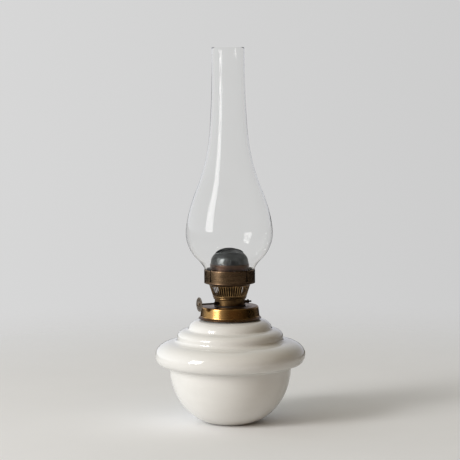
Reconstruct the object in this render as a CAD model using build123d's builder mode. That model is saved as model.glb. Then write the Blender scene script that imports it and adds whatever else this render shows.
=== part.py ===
"""Flat-wick oil lamp: glass font, brass collar, screw-in burner, dome and glass chimney.

Frame: millimetres, +Z up, origin at the centre of the font's base.
The wick winder's shaft runs along X, with its knob at -X.
"""
import math
import os

from build123d import *

# ---------------------------------------------------------------- font (oil reservoir)
glass_wall = 4.0
floor_thickness = 5.0
foot_radius = 21.7
foot_recess_radius = 15.0
foot_recess_depth = 1.0
bowl_height = 57.8
bowl_crown_radius = 12.5          # where the bowl's elliptical side would meet its axis of depth
bulge_rise = 11.2                 # bowl's top edge up to the widest line
bulge_under_depth = 9.3
bulge_under_width = 6.3
bulge_top_depth = 13.5
bulge_top_width = 19.3
bulge_cove = 2.7                  # hollow rise from the bulge to the wide step
wide_step_wall = 2.7
cove_drop_share = 0.6             # inner face of the cove, lower by this share of the wall
wide_step_crown = 6.8
wide_step_round = 10.9
narrow_step_cove = 0.6
narrow_step_crown = 9.2
narrow_step_round = 12.2
neck_height = 9.5
neck_lip_round = 1.0
seat_width = 14.4                 # underside of the bulge, which a ring holder carries
bulge_overhang = 22.4             # bulge beyond the wide step
wide_step_tread = 11.4            # wide step beyond the narrow step
narrow_step_tread = 10.4          # narrow step beyond the collar's flange
step_undercut = 0.5

# ---------------------------------------------------------------- wick and its tube
wick_width = 22.0
wick_thickness = 2.4
wick_tail = 84.0                  # wick hanging below the burner's tube
wick_side_clearance = 0.6
wick_face_clearance = 0.25
tube_wall = 0.45
tube_corner = 0.8
tube_tail = 12.6                  # tube below the collar's top
tube_top_gap = 1.4                # tube's mouth below the dome's shoulder
tube_gap = 1.4                    # tube's corners to the bore of the burner's skirt

# ---------------------------------------------------------------- thread, collar and plaster
thread_clearance = 0.1
thread_ring_wall = 2.9
thread_ring_height = 7.4
thread_ring_lip = 1.0
neck_gap = 2.0                    # between the thread ring and the glass neck's bore
neck_wall = 4.5
plaster_thickness = 4.0
collar_sheet = 0.7
collar_height = 12.7
collar_taper = 0.9
collar_flange = 2.0
collar_flange_height = 0.8
collar_flare_height = 2.9
collar_shoulder = 1.6
collar_lift = 1.4                 # flange's height over the glass shoulder
hole_clearance = 0.4

# ---------------------------------------------------------------- burner
washer_thickness = 0.8
washer_overhang = 1.3
skirt_wall = 1.0
skirt_depth = 9.4
base_flange = 0.9
base_flange_height = 0.5
base_upstand = 0.8
burner_floor_thickness = 0.6
burner_floor_depth = 7.0          # below the burner's seat
burner_sheet = 0.6
neck_band_margin = 0.6            # neck band's radius over the thread's
neck_band_height = 5.8
bead_height = 1.7
lower_bead = 1.3
upper_bead = 1.9
basket_height = 11.2
basket_inset = 4.8                # basket's top inside the gallery's band
basket_lip_height = 1.4
basket_lip_radius = 1.9
basket_lip_edge = 0.4
slot_count = 50
slot_width = 1.25
slot_reach = 9.0                  # along the basket's radius, past its wall both ways
slot_margin = 0.8
gallery_radius = 25.6
gallery_sheet = 0.6
gallery_height = 13.9
gallery_bead = 0.3
gallery_bead_height = 1.3
slit_width = 0.9
slit_cut_reach = 3.0              # each way from the gallery's outer face
slit_relief_radius = 1.0
slit_relief_height = 3.6
slit_count = 4
slit_angle = 18.0
plate_sheet = 0.5
plate_rim_height = 5.2
plate_hole_radius = 0.8
plate_hole_rows = ((5.4, 30), (2.6, 36))    # distance in from the rim, holes in the row

# ---------------------------------------------------------------- winder
shaft_radius = 0.9
shaft_chamfer = 0.25
shaft_height = 3.7                # over the collar's top
shaft_running_clearance = 0.05
shaft_tip = 1.0                   # shaft beyond the knob's boss
shaft_tail = 3.2                  # shaft beyond the clip
wheel_radius = 3.1
wheel_root_radius = 2.3
wheel_thickness = 1.2
wheel_teeth = 12
wheel_wick_gap = 0.3
wheel_offset = 6.5
window_margin = 0.4
bush_radius = 1.6
bush_inner_length = 1.6
bush_outer_left = 4.4
bush_outer_right = 2.8
knob_radius = 7.25
knob_thickness = 1.2
knob_gap = 3.1                    # knob to the collar's flange
knob_notches = 28
knob_notch_radius = 0.4
boss_radius = 2.1
boss_length = 4.2
boss_round = 0.5
clip_radius = 2.2
clip_thickness = 0.7
clip_gap = 0.4
clip_mouth = 1.5
vent_radius = 1.3
vent_bore = 0.9
vent_x = 7.5
vent_y = 6.5
vent_tail = 2.5
vent_top_gap = 2.0

# ---------------------------------------------------------------- dome and chimney
dome_air_gap = 3.4                # dome's ring to the chimney's foot
dome_ring_wall = 0.5
dome_fit = 0.15
dome_ring_height = 19.1
dome_step = 0.5
dome_sheet = 0.5
dome_height = 15.1
dome_slot_margin = 4.7            # slot's end to the dome's edge
dome_slot_width = 7.0
dome_lip_height = 0.7
dome_lip_wall = 0.6
chimney_wall = 1.6
chimney_fit = 0.3
chimney_foot_height = 12.4
chimney_bulb_radius = 43.7
chimney_bulb_height = 47.7        # foot up to the widest line
chimney_top_radius = 16.5
chimney_height = 235.7
chimney_edge_round = 0.5
seat_gap = 0.05

# ---------------------------------------------------------------- places worked out from the sizes
tube_bore_width = wick_width + 2.0 * wick_side_clearance
tube_bore_depth = wick_thickness + 2.0 * wick_face_clearance
tube_width = tube_bore_width + 2.0 * tube_wall
tube_depth = tube_bore_depth + 2.0 * tube_wall
skirt_bore = math.hypot(tube_width, tube_depth) / 2.0 + tube_gap
thread_radius = skirt_bore + skirt_wall
thread_ring_bore = thread_radius + thread_clearance
thread_ring_radius = thread_ring_bore + thread_ring_wall
neck_bore = thread_ring_radius + neck_gap
neck_radius = neck_bore + neck_wall
plaster_radius = neck_radius + plaster_thickness
collar_top_radius = plaster_radius + collar_sheet
collar_foot_radius = collar_top_radius + collar_taper
collar_flange_radius = collar_foot_radius + collar_flange
narrow_step_radius = collar_flange_radius + narrow_step_tread
wide_step_radius = narrow_step_radius + wide_step_tread
bulge_radius = wide_step_radius + bulge_overhang
bowl_radius = bulge_radius - seat_width

widest_z = bowl_height + bulge_rise
wide_step_z = widest_z + bulge_top_depth + bulge_cove
wide_step_top_z = wide_step_z + wide_step_wall + wide_step_crown
narrow_step_z = wide_step_top_z + narrow_step_cove
shoulder_z = narrow_step_z + narrow_step_crown
neck_top_z = shoulder_z + neck_height

collar_z = shoulder_z + collar_lift
collar_top_z = collar_z + collar_height
collar_plate_z = collar_top_z - collar_sheet
collar_hole_radius = thread_radius + hole_clearance
thread_ring_z = collar_plate_z - thread_ring_height

seat_z = collar_top_z + washer_thickness
burner_floor_z = seat_z - burner_floor_depth
base_flange_radius = thread_radius + base_flange
neck_band_radius = thread_radius + neck_band_margin
neck_band_bore = neck_band_radius - burner_sheet
cup_z = seat_z + base_flange_height
bead_z = cup_z + neck_band_height
basket_z = bead_z + 2.0 * bead_height
basket_foot_radius = neck_band_radius + upper_bead
basket_top_radius = gallery_radius - basket_inset
basket_middle_radius = (basket_foot_radius + basket_top_radius) / 2.0
basket_lip_z = basket_z + basket_height
gallery_z = basket_lip_z + basket_lip_height
gallery_floor_top_z = gallery_z + gallery_sheet
gallery_bore = gallery_radius - gallery_sheet
gallery_top_z = gallery_z + gallery_height

chimney_z = gallery_floor_top_z + seat_gap
chimney_foot_radius = gallery_bore - chimney_fit
chimney_bulb_z = chimney_z + chimney_bulb_height
chimney_top_z = chimney_z + chimney_height

dome_ring_radius = chimney_foot_radius - chimney_wall - dome_air_gap
dome_ring_bore = dome_ring_radius - dome_ring_wall
crown_radius = dome_ring_bore - dome_fit
dome_ring_z = gallery_floor_top_z + seat_gap
dome_z = dome_ring_z + dome_ring_height
dome_radius = dome_ring_radius - dome_step
dome_top_z = dome_z + dome_height
dome_slot_length = 2.0 * (dome_radius - dome_slot_margin)

tube_z = collar_top_z - tube_tail
tube_top_z = dome_z - tube_top_gap
wick_z = tube_z - wick_tail

shaft_z = collar_top_z + shaft_height
shaft_y = -(wick_thickness / 2.0 + wheel_wick_gap + wheel_radius)
shaft_plane = Plane(origin=(0, shaft_y, shaft_z), x_dir=(0, 1, 0), z_dir=(1, 0, 0))
cup_reach = math.sqrt(neck_band_radius**2 - shaft_y**2)
bush_inner_x = cup_reach - bush_inner_length
bush_left_x = cup_reach + bush_outer_left
bush_right_x = cup_reach + bush_outer_right
clip_x = bush_right_x + clip_gap
shaft_right_end = clip_x + clip_thickness + shaft_tail
knob_x = -(collar_flange_radius + knob_gap + knob_thickness / 2.0)
shaft_left_end = knob_x - boss_length / 2.0 - shaft_tip
plate_z = gallery_z - plate_sheet

pieces = []


def keep(part, label):
    """Name a finished piece and hold it for export."""
    part.label = label
    pieces.append(part)


# ---------------------------------------------------------------- font
bowl_reach = bowl_radius - bowl_crown_radius
foot_angle = math.acos((foot_radius - bowl_crown_radius) / bowl_reach)
bowl_depth = bowl_height / math.sin(foot_angle)


def font_side(inset, start_z):
    """Draw the font's side from the bowl up to the shoulder, set in by a wall."""
    start = math.degrees(math.asin((bowl_height - start_z) / (bowl_depth - inset)))
    EllipticalCenterArc((bowl_crown_radius, bowl_height), bowl_reach - inset,
                        bowl_depth - inset, start_angle=-start, arc_size=start)
    crease = (bowl_radius - inset, bowl_height + inset)
    if inset:
        Line((bowl_radius - inset, bowl_height), crease)
    under_r = bulge_radius - bulge_under_width
    under_z = widest_z - bulge_under_depth + inset
    TangentArc((under_r, under_z), crease, tangent=(-1, 0))
    EllipticalCenterArc((under_r, widest_z), bulge_under_width - inset,
                        bulge_under_depth - inset, start_angle=-90, arc_size=90)
    top_r = bulge_radius - bulge_top_width
    EllipticalCenterArc((top_r, widest_z), bulge_top_width - inset,
                        bulge_top_depth - inset, start_angle=0, arc_size=90)
    cove_top = (wide_step_radius - step_undercut - inset, wide_step_z - cove_drop_share * inset)
    TangentArc((top_r, widest_z + bulge_top_depth - inset), cove_top, tangent=(-1, 0))
    wall_top_z = wide_step_z + wide_step_wall
    Line(cove_top, (wide_step_radius - inset, wall_top_z))
    crown_r = wide_step_radius - wide_step_round
    EllipticalCenterArc((crown_r, wall_top_z), wide_step_round - inset,
                        wide_step_crown - inset, start_angle=0, arc_size=90)
    narrow_crown_r = narrow_step_radius - narrow_step_round
    narrow_foot = (narrow_step_radius - inset, narrow_step_z)
    Line((crown_r, wide_step_top_z - inset), narrow_foot)
    EllipticalCenterArc((narrow_crown_r, narrow_step_z), narrow_step_round - inset,
                        narrow_step_crown - inset, start_angle=0, arc_size=90)
    return start, narrow_crown_r


with BuildPart() as font:
    with BuildSketch(Plane.XZ):
        with BuildLine():
            font_side(0.0, 0.0)
            inner_start, shoulder_r = font_side(glass_wall, floor_thickness)
            floor_r = bowl_crown_radius + (bowl_reach - glass_wall) * math.cos(
                math.radians(inner_start))
            Line((floor_r, floor_thickness), (0, floor_thickness))
            Line((0, floor_thickness), (0, foot_recess_depth))
            Line((0, foot_recess_depth), (foot_recess_radius, foot_recess_depth))
            Line((foot_recess_radius, foot_recess_depth),
                 (foot_recess_radius + foot_recess_depth, 0))
            Line((foot_recess_radius + foot_recess_depth, 0), (foot_radius, 0))
            Polyline((shoulder_r, shoulder_z), (neck_radius, shoulder_z),
                     (neck_radius, neck_top_z), (neck_bore, neck_top_z),
                     (neck_bore, shoulder_z - glass_wall),
                     (shoulder_r, shoulder_z - glass_wall))
        make_face()
    revolve(axis=Axis.Z)
    fillet(font.edges().group_by(Axis.Z)[-1], radius=neck_lip_round)
keep(font.part, "font")

# ---------------------------------------------------------------- collar and what holds it
with BuildPart() as plaster_ring:
    with BuildSketch(Plane.XY.offset(collar_z)):
        Circle(plaster_radius)
        Circle(neck_radius, mode=Mode.SUBTRACT)
    extrude(amount=neck_top_z - neck_lip_round - collar_z)
keep(plaster_ring.part, "plaster_ring")

with BuildPart() as collar_shell:
    with BuildSketch(Plane.XZ):
        with BuildLine():
            flare_z = collar_z + collar_flange_height
            wall_z = flare_z + collar_flare_height
            shoulder_start_z = collar_top_z - collar_shoulder
            Line((plaster_radius, collar_z), (collar_flange_radius, collar_z))
            Line((collar_flange_radius, collar_z), (collar_flange_radius, flare_z))
            TangentArc((collar_foot_radius, wall_z), (collar_flange_radius, flare_z),
                       tangent=(0, -1))
            Line((collar_foot_radius, wall_z), (collar_top_radius, shoulder_start_z))
            TangentArc((collar_top_radius, shoulder_start_z),
                       (collar_top_radius - collar_shoulder, collar_top_z), tangent=(0, 1))
            Polyline((collar_top_radius - collar_shoulder, collar_top_z),
                     (collar_hole_radius, collar_top_z),
                     (collar_hole_radius, collar_plate_z),
                     (plaster_radius - collar_shoulder, collar_plate_z),
                     (plaster_radius, shoulder_start_z),
                     (plaster_radius, collar_z))
        make_face()
    revolve(axis=Axis.Z)
keep(collar_shell.part, "collar_shell")

with BuildPart() as collar_thread_ring:
    with BuildSketch(Plane.XY.offset(thread_ring_z)):
        Circle(thread_ring_radius)
    extrude(amount=thread_ring_height)
    with BuildSketch(Plane.XY.offset(collar_plate_z - thread_ring_lip)):
        Circle(neck_bore)
    extrude(amount=thread_ring_lip)
    with BuildSketch(Plane.XY.offset(thread_ring_z)):
        Circle(thread_ring_bore)
    extrude(amount=thread_ring_height, mode=Mode.SUBTRACT)
keep(collar_thread_ring.part, "collar_thread_ring")

with BuildPart() as burner_washer:
    with BuildSketch(Plane.XY.offset(collar_top_z)):
        Circle(thread_radius + washer_overhang)
        Circle(collar_hole_radius, mode=Mode.SUBTRACT)
    extrude(amount=washer_thickness)
keep(burner_washer.part, "burner_washer")

# ---------------------------------------------------------------- burner
with BuildPart() as burner_base:
    with BuildSketch(Plane.XY.offset(seat_z - skirt_depth)):
        Circle(thread_radius)
    extrude(amount=skirt_depth)
    with BuildSketch(Plane.XY.offset(seat_z)):
        Circle(base_flange_radius)
    extrude(amount=base_flange_height)
    with BuildSketch(Plane.XY.offset(cup_z)):
        Circle(neck_band_bore)
    extrude(amount=base_upstand)
    with BuildSketch(Plane.XY.offset(seat_z - skirt_depth)):
        Circle(skirt_bore)
    extrude(amount=skirt_depth + base_flange_height + base_upstand, mode=Mode.SUBTRACT)
keep(burner_base.part, "burner_base")

with BuildPart() as burner_floor:
    with BuildSketch(Plane.XY.offset(burner_floor_z)):
        Circle(skirt_bore)
        RectangleRounded(tube_width, tube_depth, tube_corner, mode=Mode.SUBTRACT)
        with Locations((vent_x, vent_y)):
            Circle(vent_radius, mode=Mode.SUBTRACT)
    extrude(amount=burner_floor_thickness)
keep(burner_floor.part, "burner_floor")

with BuildPart() as burner_cup:
    with BuildSketch(Plane.XZ):
        with BuildLine():
            low_r = neck_band_radius + lower_bead
            high_r = neck_band_radius + upper_bead
            mid_z = bead_z + bead_height
            Line((neck_band_bore, cup_z), (neck_band_radius, cup_z))
            Line((neck_band_radius, cup_z), (neck_band_radius, bead_z))
            ThreePointArc((neck_band_radius, bead_z), (low_r, bead_z + bead_height / 2),
                          (low_r - burner_sheet, mid_z))
            ThreePointArc((low_r - burner_sheet, mid_z), (high_r, mid_z + bead_height / 2),
                          (high_r, basket_z))
            Polyline((high_r, basket_z), (high_r - burner_sheet, basket_z),
                     (high_r - burner_sheet, mid_z + burner_sheet),
                     (low_r - 2.0 * burner_sheet, mid_z),
                     (neck_band_bore, bead_z), (neck_band_bore, cup_z))
        make_face()
    revolve(axis=Axis.Z)
    with BuildSketch(shaft_plane.offset(-neck_band_radius)):
        Circle(bush_radius)
    extrude(amount=2.0 * neck_band_radius, mode=Mode.SUBTRACT)
keep(burner_cup.part, "burner_cup")

with BuildPart() as air_basket:
    with BuildSketch(Plane.XZ):
        with BuildLine():
            lip_r = basket_top_radius + basket_lip_radius
            Line((basket_foot_radius, basket_z), (basket_top_radius, basket_lip_z))
            TangentArc((lip_r, gallery_z - basket_lip_edge), (basket_top_radius, basket_lip_z),
                       tangent=(-1, 0))
            Polyline((lip_r, gallery_z - basket_lip_edge), (lip_r, gallery_z),
                     (basket_top_radius - burner_sheet, gallery_z),
                     (basket_top_radius - burner_sheet, basket_lip_z),
                     (basket_foot_radius - burner_sheet, basket_z),
                     (basket_foot_radius, basket_z))
        make_face()
    revolve(axis=Axis.Z)
    with BuildSketch(Plane.XY.offset(basket_z + slot_margin)):
        with PolarLocations(basket_middle_radius, slot_count):
            Rectangle(slot_reach, slot_width)
    extrude(amount=basket_height - 2.0 * slot_margin, mode=Mode.SUBTRACT)
keep(air_basket.part, "air_basket")

with BuildPart() as gallery:
    with BuildSketch(Plane.XZ):
        with BuildLine():
            Line((crown_radius, gallery_z), (gallery_radius, gallery_z))
            ThreePointArc((gallery_radius, gallery_z),
                          (gallery_radius + gallery_bead, gallery_z + gallery_bead_height / 2),
                          (gallery_radius, gallery_z + gallery_bead_height))
            Polyline((gallery_radius, gallery_z + gallery_bead_height),
                     (gallery_radius, gallery_top_z),
                     (gallery_bore, gallery_top_z),
                     (gallery_bore, gallery_floor_top_z),
                     (crown_radius, gallery_floor_top_z),
                     (crown_radius, gallery_z))
        make_face()
    revolve(axis=Axis.Z)
    relief_z = gallery_z + slit_relief_height
    for number in range(slit_count):
        turn = math.radians(slit_angle + 360.0 / slit_count * number)
        outward = (math.cos(turn), math.sin(turn), 0)
        along = (-math.sin(turn), math.cos(turn), 0)
        start = (gallery_radius - slit_cut_reach) * Vector(*outward) + Vector(0, 0, relief_z)
        with BuildSketch(Plane(origin=start, x_dir=along, z_dir=outward)):
            Circle(slit_relief_radius)
            with Locations((0, gallery_height / 2.0)):
                Rectangle(slit_width, gallery_height)
        extrude(amount=2.0 * slit_cut_reach, mode=Mode.SUBTRACT)
keep(gallery.part, "gallery")

with BuildPart() as diffuser_plate:
    with BuildSketch(Plane.XY.offset(plate_z)):
        Circle(crown_radius)
        RectangleRounded(tube_width, tube_depth, tube_corner, mode=Mode.SUBTRACT)
    extrude(amount=plate_sheet)
    for row_inset, row_count in plate_hole_rows:
        with BuildSketch(Plane.XY.offset(plate_z)):
            with PolarLocations(crown_radius - row_inset, row_count):
                Circle(plate_hole_radius)
        extrude(amount=plate_sheet, mode=Mode.SUBTRACT)
    with BuildSketch(Plane.XY.offset(plate_z)):
        Circle(crown_radius)
        Circle(crown_radius - plate_sheet, mode=Mode.SUBTRACT)
    extrude(amount=plate_sheet + plate_rim_height)
keep(diffuser_plate.part, "diffuser_plate")

with BuildPart() as wick_tube:
    with BuildSketch(Plane.XY.offset(tube_z)):
        RectangleRounded(tube_width, tube_depth, tube_corner)
        RectangleRounded(tube_bore_width, tube_bore_depth, tube_corner - tube_wall,
                         mode=Mode.SUBTRACT)
    extrude(amount=tube_top_z - tube_z)
    with BuildSketch(Plane.XZ.offset(tube_bore_depth / 4.0)):
        with Locations((-wheel_offset, shaft_z), (wheel_offset, shaft_z)):
            Rectangle(wheel_thickness + 2.0 * window_margin,
                      2.0 * wheel_radius + 2.0 * window_margin)
    extrude(amount=tube_depth, mode=Mode.SUBTRACT)
keep(wick_tube.part, "wick_tube")

with BuildPart() as vent_tube:
    with BuildSketch(Plane.XY.offset(burner_floor_z - vent_tail)):
        with Locations((vent_x, vent_y)):
            Circle(vent_radius)
            Circle(vent_bore, mode=Mode.SUBTRACT)
    extrude(amount=plate_z - vent_top_gap - burner_floor_z + vent_tail)
keep(vent_tube.part, "vent_tube")


def shaft_bush(label, low_x, high_x):
    """One bearing bush of the winder's shaft, between two places along X."""
    with BuildPart() as bush:
        with BuildSketch(shaft_plane.offset(low_x)):
            Circle(bush_radius)
            Circle(shaft_radius + shaft_running_clearance, mode=Mode.SUBTRACT)
        extrude(amount=high_x - low_x)
    keep(bush.part, label)


shaft_bush("shaft_bush_left", -bush_left_x, -bush_inner_x)
shaft_bush("shaft_bush_right", bush_inner_x, bush_right_x)

# ---------------------------------------------------------------- winder
with BuildPart() as winder_shaft:
    with BuildSketch(shaft_plane.offset(shaft_left_end)):
        Circle(shaft_radius)
    extrude(amount=shaft_right_end - shaft_left_end)
    chamfer(winder_shaft.edges().filter_by(GeomType.CIRCLE), length=shaft_chamfer)
keep(winder_shaft.part, "winder_shaft")


def spur_wheel(label, middle_x):
    """One toothed wheel that drives the wick through a window in its tube."""
    with BuildPart() as wheel:
        with BuildSketch(shaft_plane.offset(middle_x - wheel_thickness / 2.0)):
            Circle(wheel_radius)
            with PolarLocations(wheel_radius, wheel_teeth, start_angle=180.0 / wheel_teeth):
                Circle(wheel_radius - wheel_root_radius, mode=Mode.SUBTRACT)
            Circle(shaft_radius, mode=Mode.SUBTRACT)
        extrude(amount=wheel_thickness)
    keep(wheel.part, label)


spur_wheel("spur_wheel_left", -wheel_offset)
spur_wheel("spur_wheel_right", wheel_offset)

with BuildPart() as winder_knob:
    with BuildSketch(shaft_plane.offset(knob_x - knob_thickness / 2.0)):
        Circle(knob_radius)
        with PolarLocations(knob_radius, knob_notches):
            Circle(knob_notch_radius, mode=Mode.SUBTRACT)
        Circle(boss_radius, mode=Mode.SUBTRACT)
    extrude(amount=knob_thickness)
keep(winder_knob.part, "winder_knob")

with BuildPart() as knob_boss:
    with BuildSketch(shaft_plane.offset(knob_x - boss_length / 2.0)):
        Circle(boss_radius)
    extrude(amount=boss_length)
    fillet(knob_boss.edges().filter_by(GeomType.CIRCLE), radius=boss_round)
    with BuildSketch(shaft_plane.offset(knob_x - boss_length / 2.0)):
        Circle(shaft_radius)
    extrude(amount=boss_length, mode=Mode.SUBTRACT)
keep(knob_boss.part, "knob_boss")

with BuildPart() as shaft_clip:
    with BuildSketch(shaft_plane.offset(clip_x)):
        Circle(clip_radius)
        Circle(shaft_radius, mode=Mode.SUBTRACT)
        with Locations((0, -clip_radius)):
            Rectangle(clip_mouth, 2.0 * clip_radius, mode=Mode.SUBTRACT)
    extrude(amount=clip_thickness)
keep(shaft_clip.part, "shaft_clip")

with BuildPart() as wick:
    with BuildSketch(Plane.XY.offset(wick_z)):
        RectangleRounded(wick_width, wick_thickness, wick_thickness / 3.0)
    extrude(amount=tube_top_z - wick_z)
keep(wick.part, "wick")

# ---------------------------------------------------------------- dome
# Points of the dome's section between its edge and its top, as shares of its radius and height.
dome_section = ((0.953, 0.278), (0.792, 0.662), (0.448, 0.921))


def dome_curve(grow):
    """Draw the dome's section line from its edge to the axis, grown outwards."""
    radius = dome_radius + grow
    height = dome_height + grow
    middle = [(radius * r, dome_z + height * z) for r, z in dome_section]
    Spline((radius, dome_z), *middle, (0, dome_z + height), tangents=((0, 1), (-1, 0)))


with BuildPart() as slot_lip:
    with BuildSketch(Plane.XZ):
        with BuildLine():
            dome_curve(dome_lip_height)
            dome_curve(-dome_sheet)
            Line((dome_radius + dome_lip_height, dome_z), (dome_radius - dome_sheet, dome_z))
            Line((0, dome_top_z + dome_lip_height), (0, dome_top_z - dome_sheet))
        make_face()
    revolve(axis=Axis.Z)
    with BuildSketch(Plane.XY.offset(dome_z)):
        SlotOverall(dome_slot_length + 2.0 * dome_lip_wall, dome_slot_width + 2.0 * dome_lip_wall)
        SlotOverall(dome_slot_length, dome_slot_width, mode=Mode.SUBTRACT)
    extrude(amount=2.0 * dome_height, mode=Mode.INTERSECT)

with BuildPart() as dome:
    with BuildSketch(Plane.XZ):
        with BuildLine():
            dome_curve(0.0)
            dome_curve(-dome_sheet)
            Line((dome_radius, dome_z), (dome_radius - dome_sheet, dome_z))
            Line((0, dome_top_z), (0, dome_top_z - dome_sheet))
        make_face()
    revolve(axis=Axis.Z)
    with BuildSketch(Plane.XY.offset(dome_z)):
        SlotOverall(dome_slot_length, dome_slot_width)
    extrude(amount=2.0 * dome_height, mode=Mode.SUBTRACT)
    add(slot_lip.part)
keep(dome.part, "dome")

with BuildPart() as dome_ring:
    with BuildSketch(Plane.XY.offset(dome_ring_z)):
        Circle(dome_ring_radius)
        Circle(dome_ring_bore, mode=Mode.SUBTRACT)
    extrude(amount=dome_ring_height)
    with BuildSketch(Plane.XY.offset(dome_z - dome_sheet)):
        Circle(dome_ring_bore)
        Circle(dome_radius - 2.0 * dome_sheet, mode=Mode.SUBTRACT)
    extrude(amount=dome_sheet)
keep(dome_ring.part, "dome_ring")

# ---------------------------------------------------------------- chimney
# Share of the swelling that is left at shares of the height: below and above the widest line.
bulb_under = ((0.109, 0.074), (0.225, 0.226), (0.426, 0.595), (0.712, 0.880))
flue_over = ((0.081, 0.945), (0.188, 0.746), (0.295, 0.467), (0.402, 0.254),
             (0.509, 0.125), (0.616, 0.062), (0.775, 0.012))


def chimney_curve(inset):
    """Draw the chimney's side, from its foot to its rim, set in by a wall."""
    foot_r = chimney_foot_radius - inset
    bulb_r = chimney_bulb_radius - inset
    top_r = chimney_top_radius - inset
    flare_z = chimney_z + chimney_foot_height
    rise = chimney_bulb_z - flare_z
    flue = chimney_top_z - chimney_bulb_z
    under = [(foot_r + (bulb_r - foot_r) * share, flare_z + rise * height)
             for height, share in bulb_under]
    over = [(top_r + (bulb_r - top_r) * share, chimney_bulb_z + flue * height)
            for height, share in flue_over]
    Line((foot_r, chimney_z), (foot_r, flare_z))
    Spline((foot_r, flare_z), *under, (bulb_r, chimney_bulb_z), tangents=((0, 1), (0, 1)))
    Spline((bulb_r, chimney_bulb_z), *over, (top_r, chimney_top_z), tangents=((0, 1), (0, 1)))


with BuildPart() as chimney:
    with BuildSketch(Plane.XZ):
        with BuildLine():
            chimney_curve(0.0)
            chimney_curve(chimney_wall)
            Line((chimney_foot_radius - chimney_wall, chimney_z), (chimney_foot_radius, chimney_z))
            Line((chimney_top_radius - chimney_wall, chimney_top_z),
                 (chimney_top_radius, chimney_top_z))
        make_face()
    revolve(axis=Axis.Z)
    fillet(chimney.edges().group_by(Axis.Z)[-1], radius=chimney_edge_round)
    fillet(chimney.edges().group_by(Axis.Z)[0], radius=chimney_edge_round)
keep(chimney.part, "chimney")

# ---------------------------------------------------------------- files
os.makedirs("parts", exist_ok=True)
for piece in pieces:
    export_step(piece, os.path.join("parts", piece.label + ".step"))
    print(f"{piece.label:20s} volume {piece.volume:10.1f} mm3")
print(f"collar top {collar_top_z:.2f}, gallery {gallery_z:.2f} to {gallery_top_z:.2f}, "
      f"dome top {dome_top_z:.2f}, chimney top {chimney_top_z:.2f}")
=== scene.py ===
"""Flat-wick oil lamp: pressed and blown glass, spun brass, cotton wick, and a studio stage.

Everything is in metres, +Z up, with the origin at the centre of the font's foot. The winder's
shaft runs along X with its knob at -X.
"""
import math
import bmesh
import bpy
from bpy.props import FloatProperty, FloatVectorProperty, IntProperty, PointerProperty
from mathutils import Matrix, Vector


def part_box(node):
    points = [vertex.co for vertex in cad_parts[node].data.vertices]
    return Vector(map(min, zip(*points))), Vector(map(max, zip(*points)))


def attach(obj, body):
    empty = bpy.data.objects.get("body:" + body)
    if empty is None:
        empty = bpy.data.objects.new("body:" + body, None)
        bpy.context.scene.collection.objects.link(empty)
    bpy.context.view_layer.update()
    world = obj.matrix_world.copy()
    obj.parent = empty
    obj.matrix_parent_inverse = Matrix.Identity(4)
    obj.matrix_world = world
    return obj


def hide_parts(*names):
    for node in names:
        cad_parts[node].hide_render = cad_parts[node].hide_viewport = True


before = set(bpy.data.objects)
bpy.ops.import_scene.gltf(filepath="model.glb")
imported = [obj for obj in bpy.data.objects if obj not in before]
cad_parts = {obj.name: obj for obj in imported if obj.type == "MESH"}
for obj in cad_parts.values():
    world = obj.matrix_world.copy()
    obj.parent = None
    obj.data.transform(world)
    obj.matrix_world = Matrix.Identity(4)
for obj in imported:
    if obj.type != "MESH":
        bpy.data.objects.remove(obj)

bl_info = {
    "name": "Flat-wick Oil Lamp",
    "version": (1, 0, 0),
    "blender": (4, 5, 0),
    "location": "View3D > Sidebar > Oil Lamp",
    "description": "Builds the pieces of a flat-wick oil lamp and the stage it stands on",
    "category": "Object",
}

MM = 0.001
SHARP_ANGLE = math.radians(38.0)
JOIN_DISTANCE = 0.02 * MM
TURNING_RADIUS = 0.05
WICK_CORDS = 12
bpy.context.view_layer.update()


def low(node):
    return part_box(node)[0]


def high(node):
    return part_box(node)[1]


def heights(node):
    """Bottom and top of a CAD piece."""
    return low(node).z, high(node).z


# ---------------------------------------------------------------- sizes and colours
def size(name, millimetres, description):
    """A length that a user can change, given in millimetres and kept in metres."""
    return FloatProperty(name=name, description=description, default=millimetres * MM,
                         subtype="DISTANCE", unit="LENGTH", precision=5)


def metres(name, length, description):
    """A length of the stage, given and kept in metres."""
    return FloatProperty(name=name, description=description, default=length,
                         subtype="DISTANCE", unit="LENGTH")


def arc(name, degrees, description):
    return FloatProperty(name=name, description=description, default=math.radians(degrees),
                         subtype="ANGLE", unit="ROTATION")


def count_of(name, number, fewest, description):
    return IntProperty(name=name, description=description, default=number, min=fewest)


def tint(name, colour, description, brightest=1.0):
    return FloatVectorProperty(name=name, description=description, default=colour,
                               subtype="COLOR", size=3, min=0.0, max=brightest)


def glow(name, colour, description):
    return tint(name, colour, description, 10.0)


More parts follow.
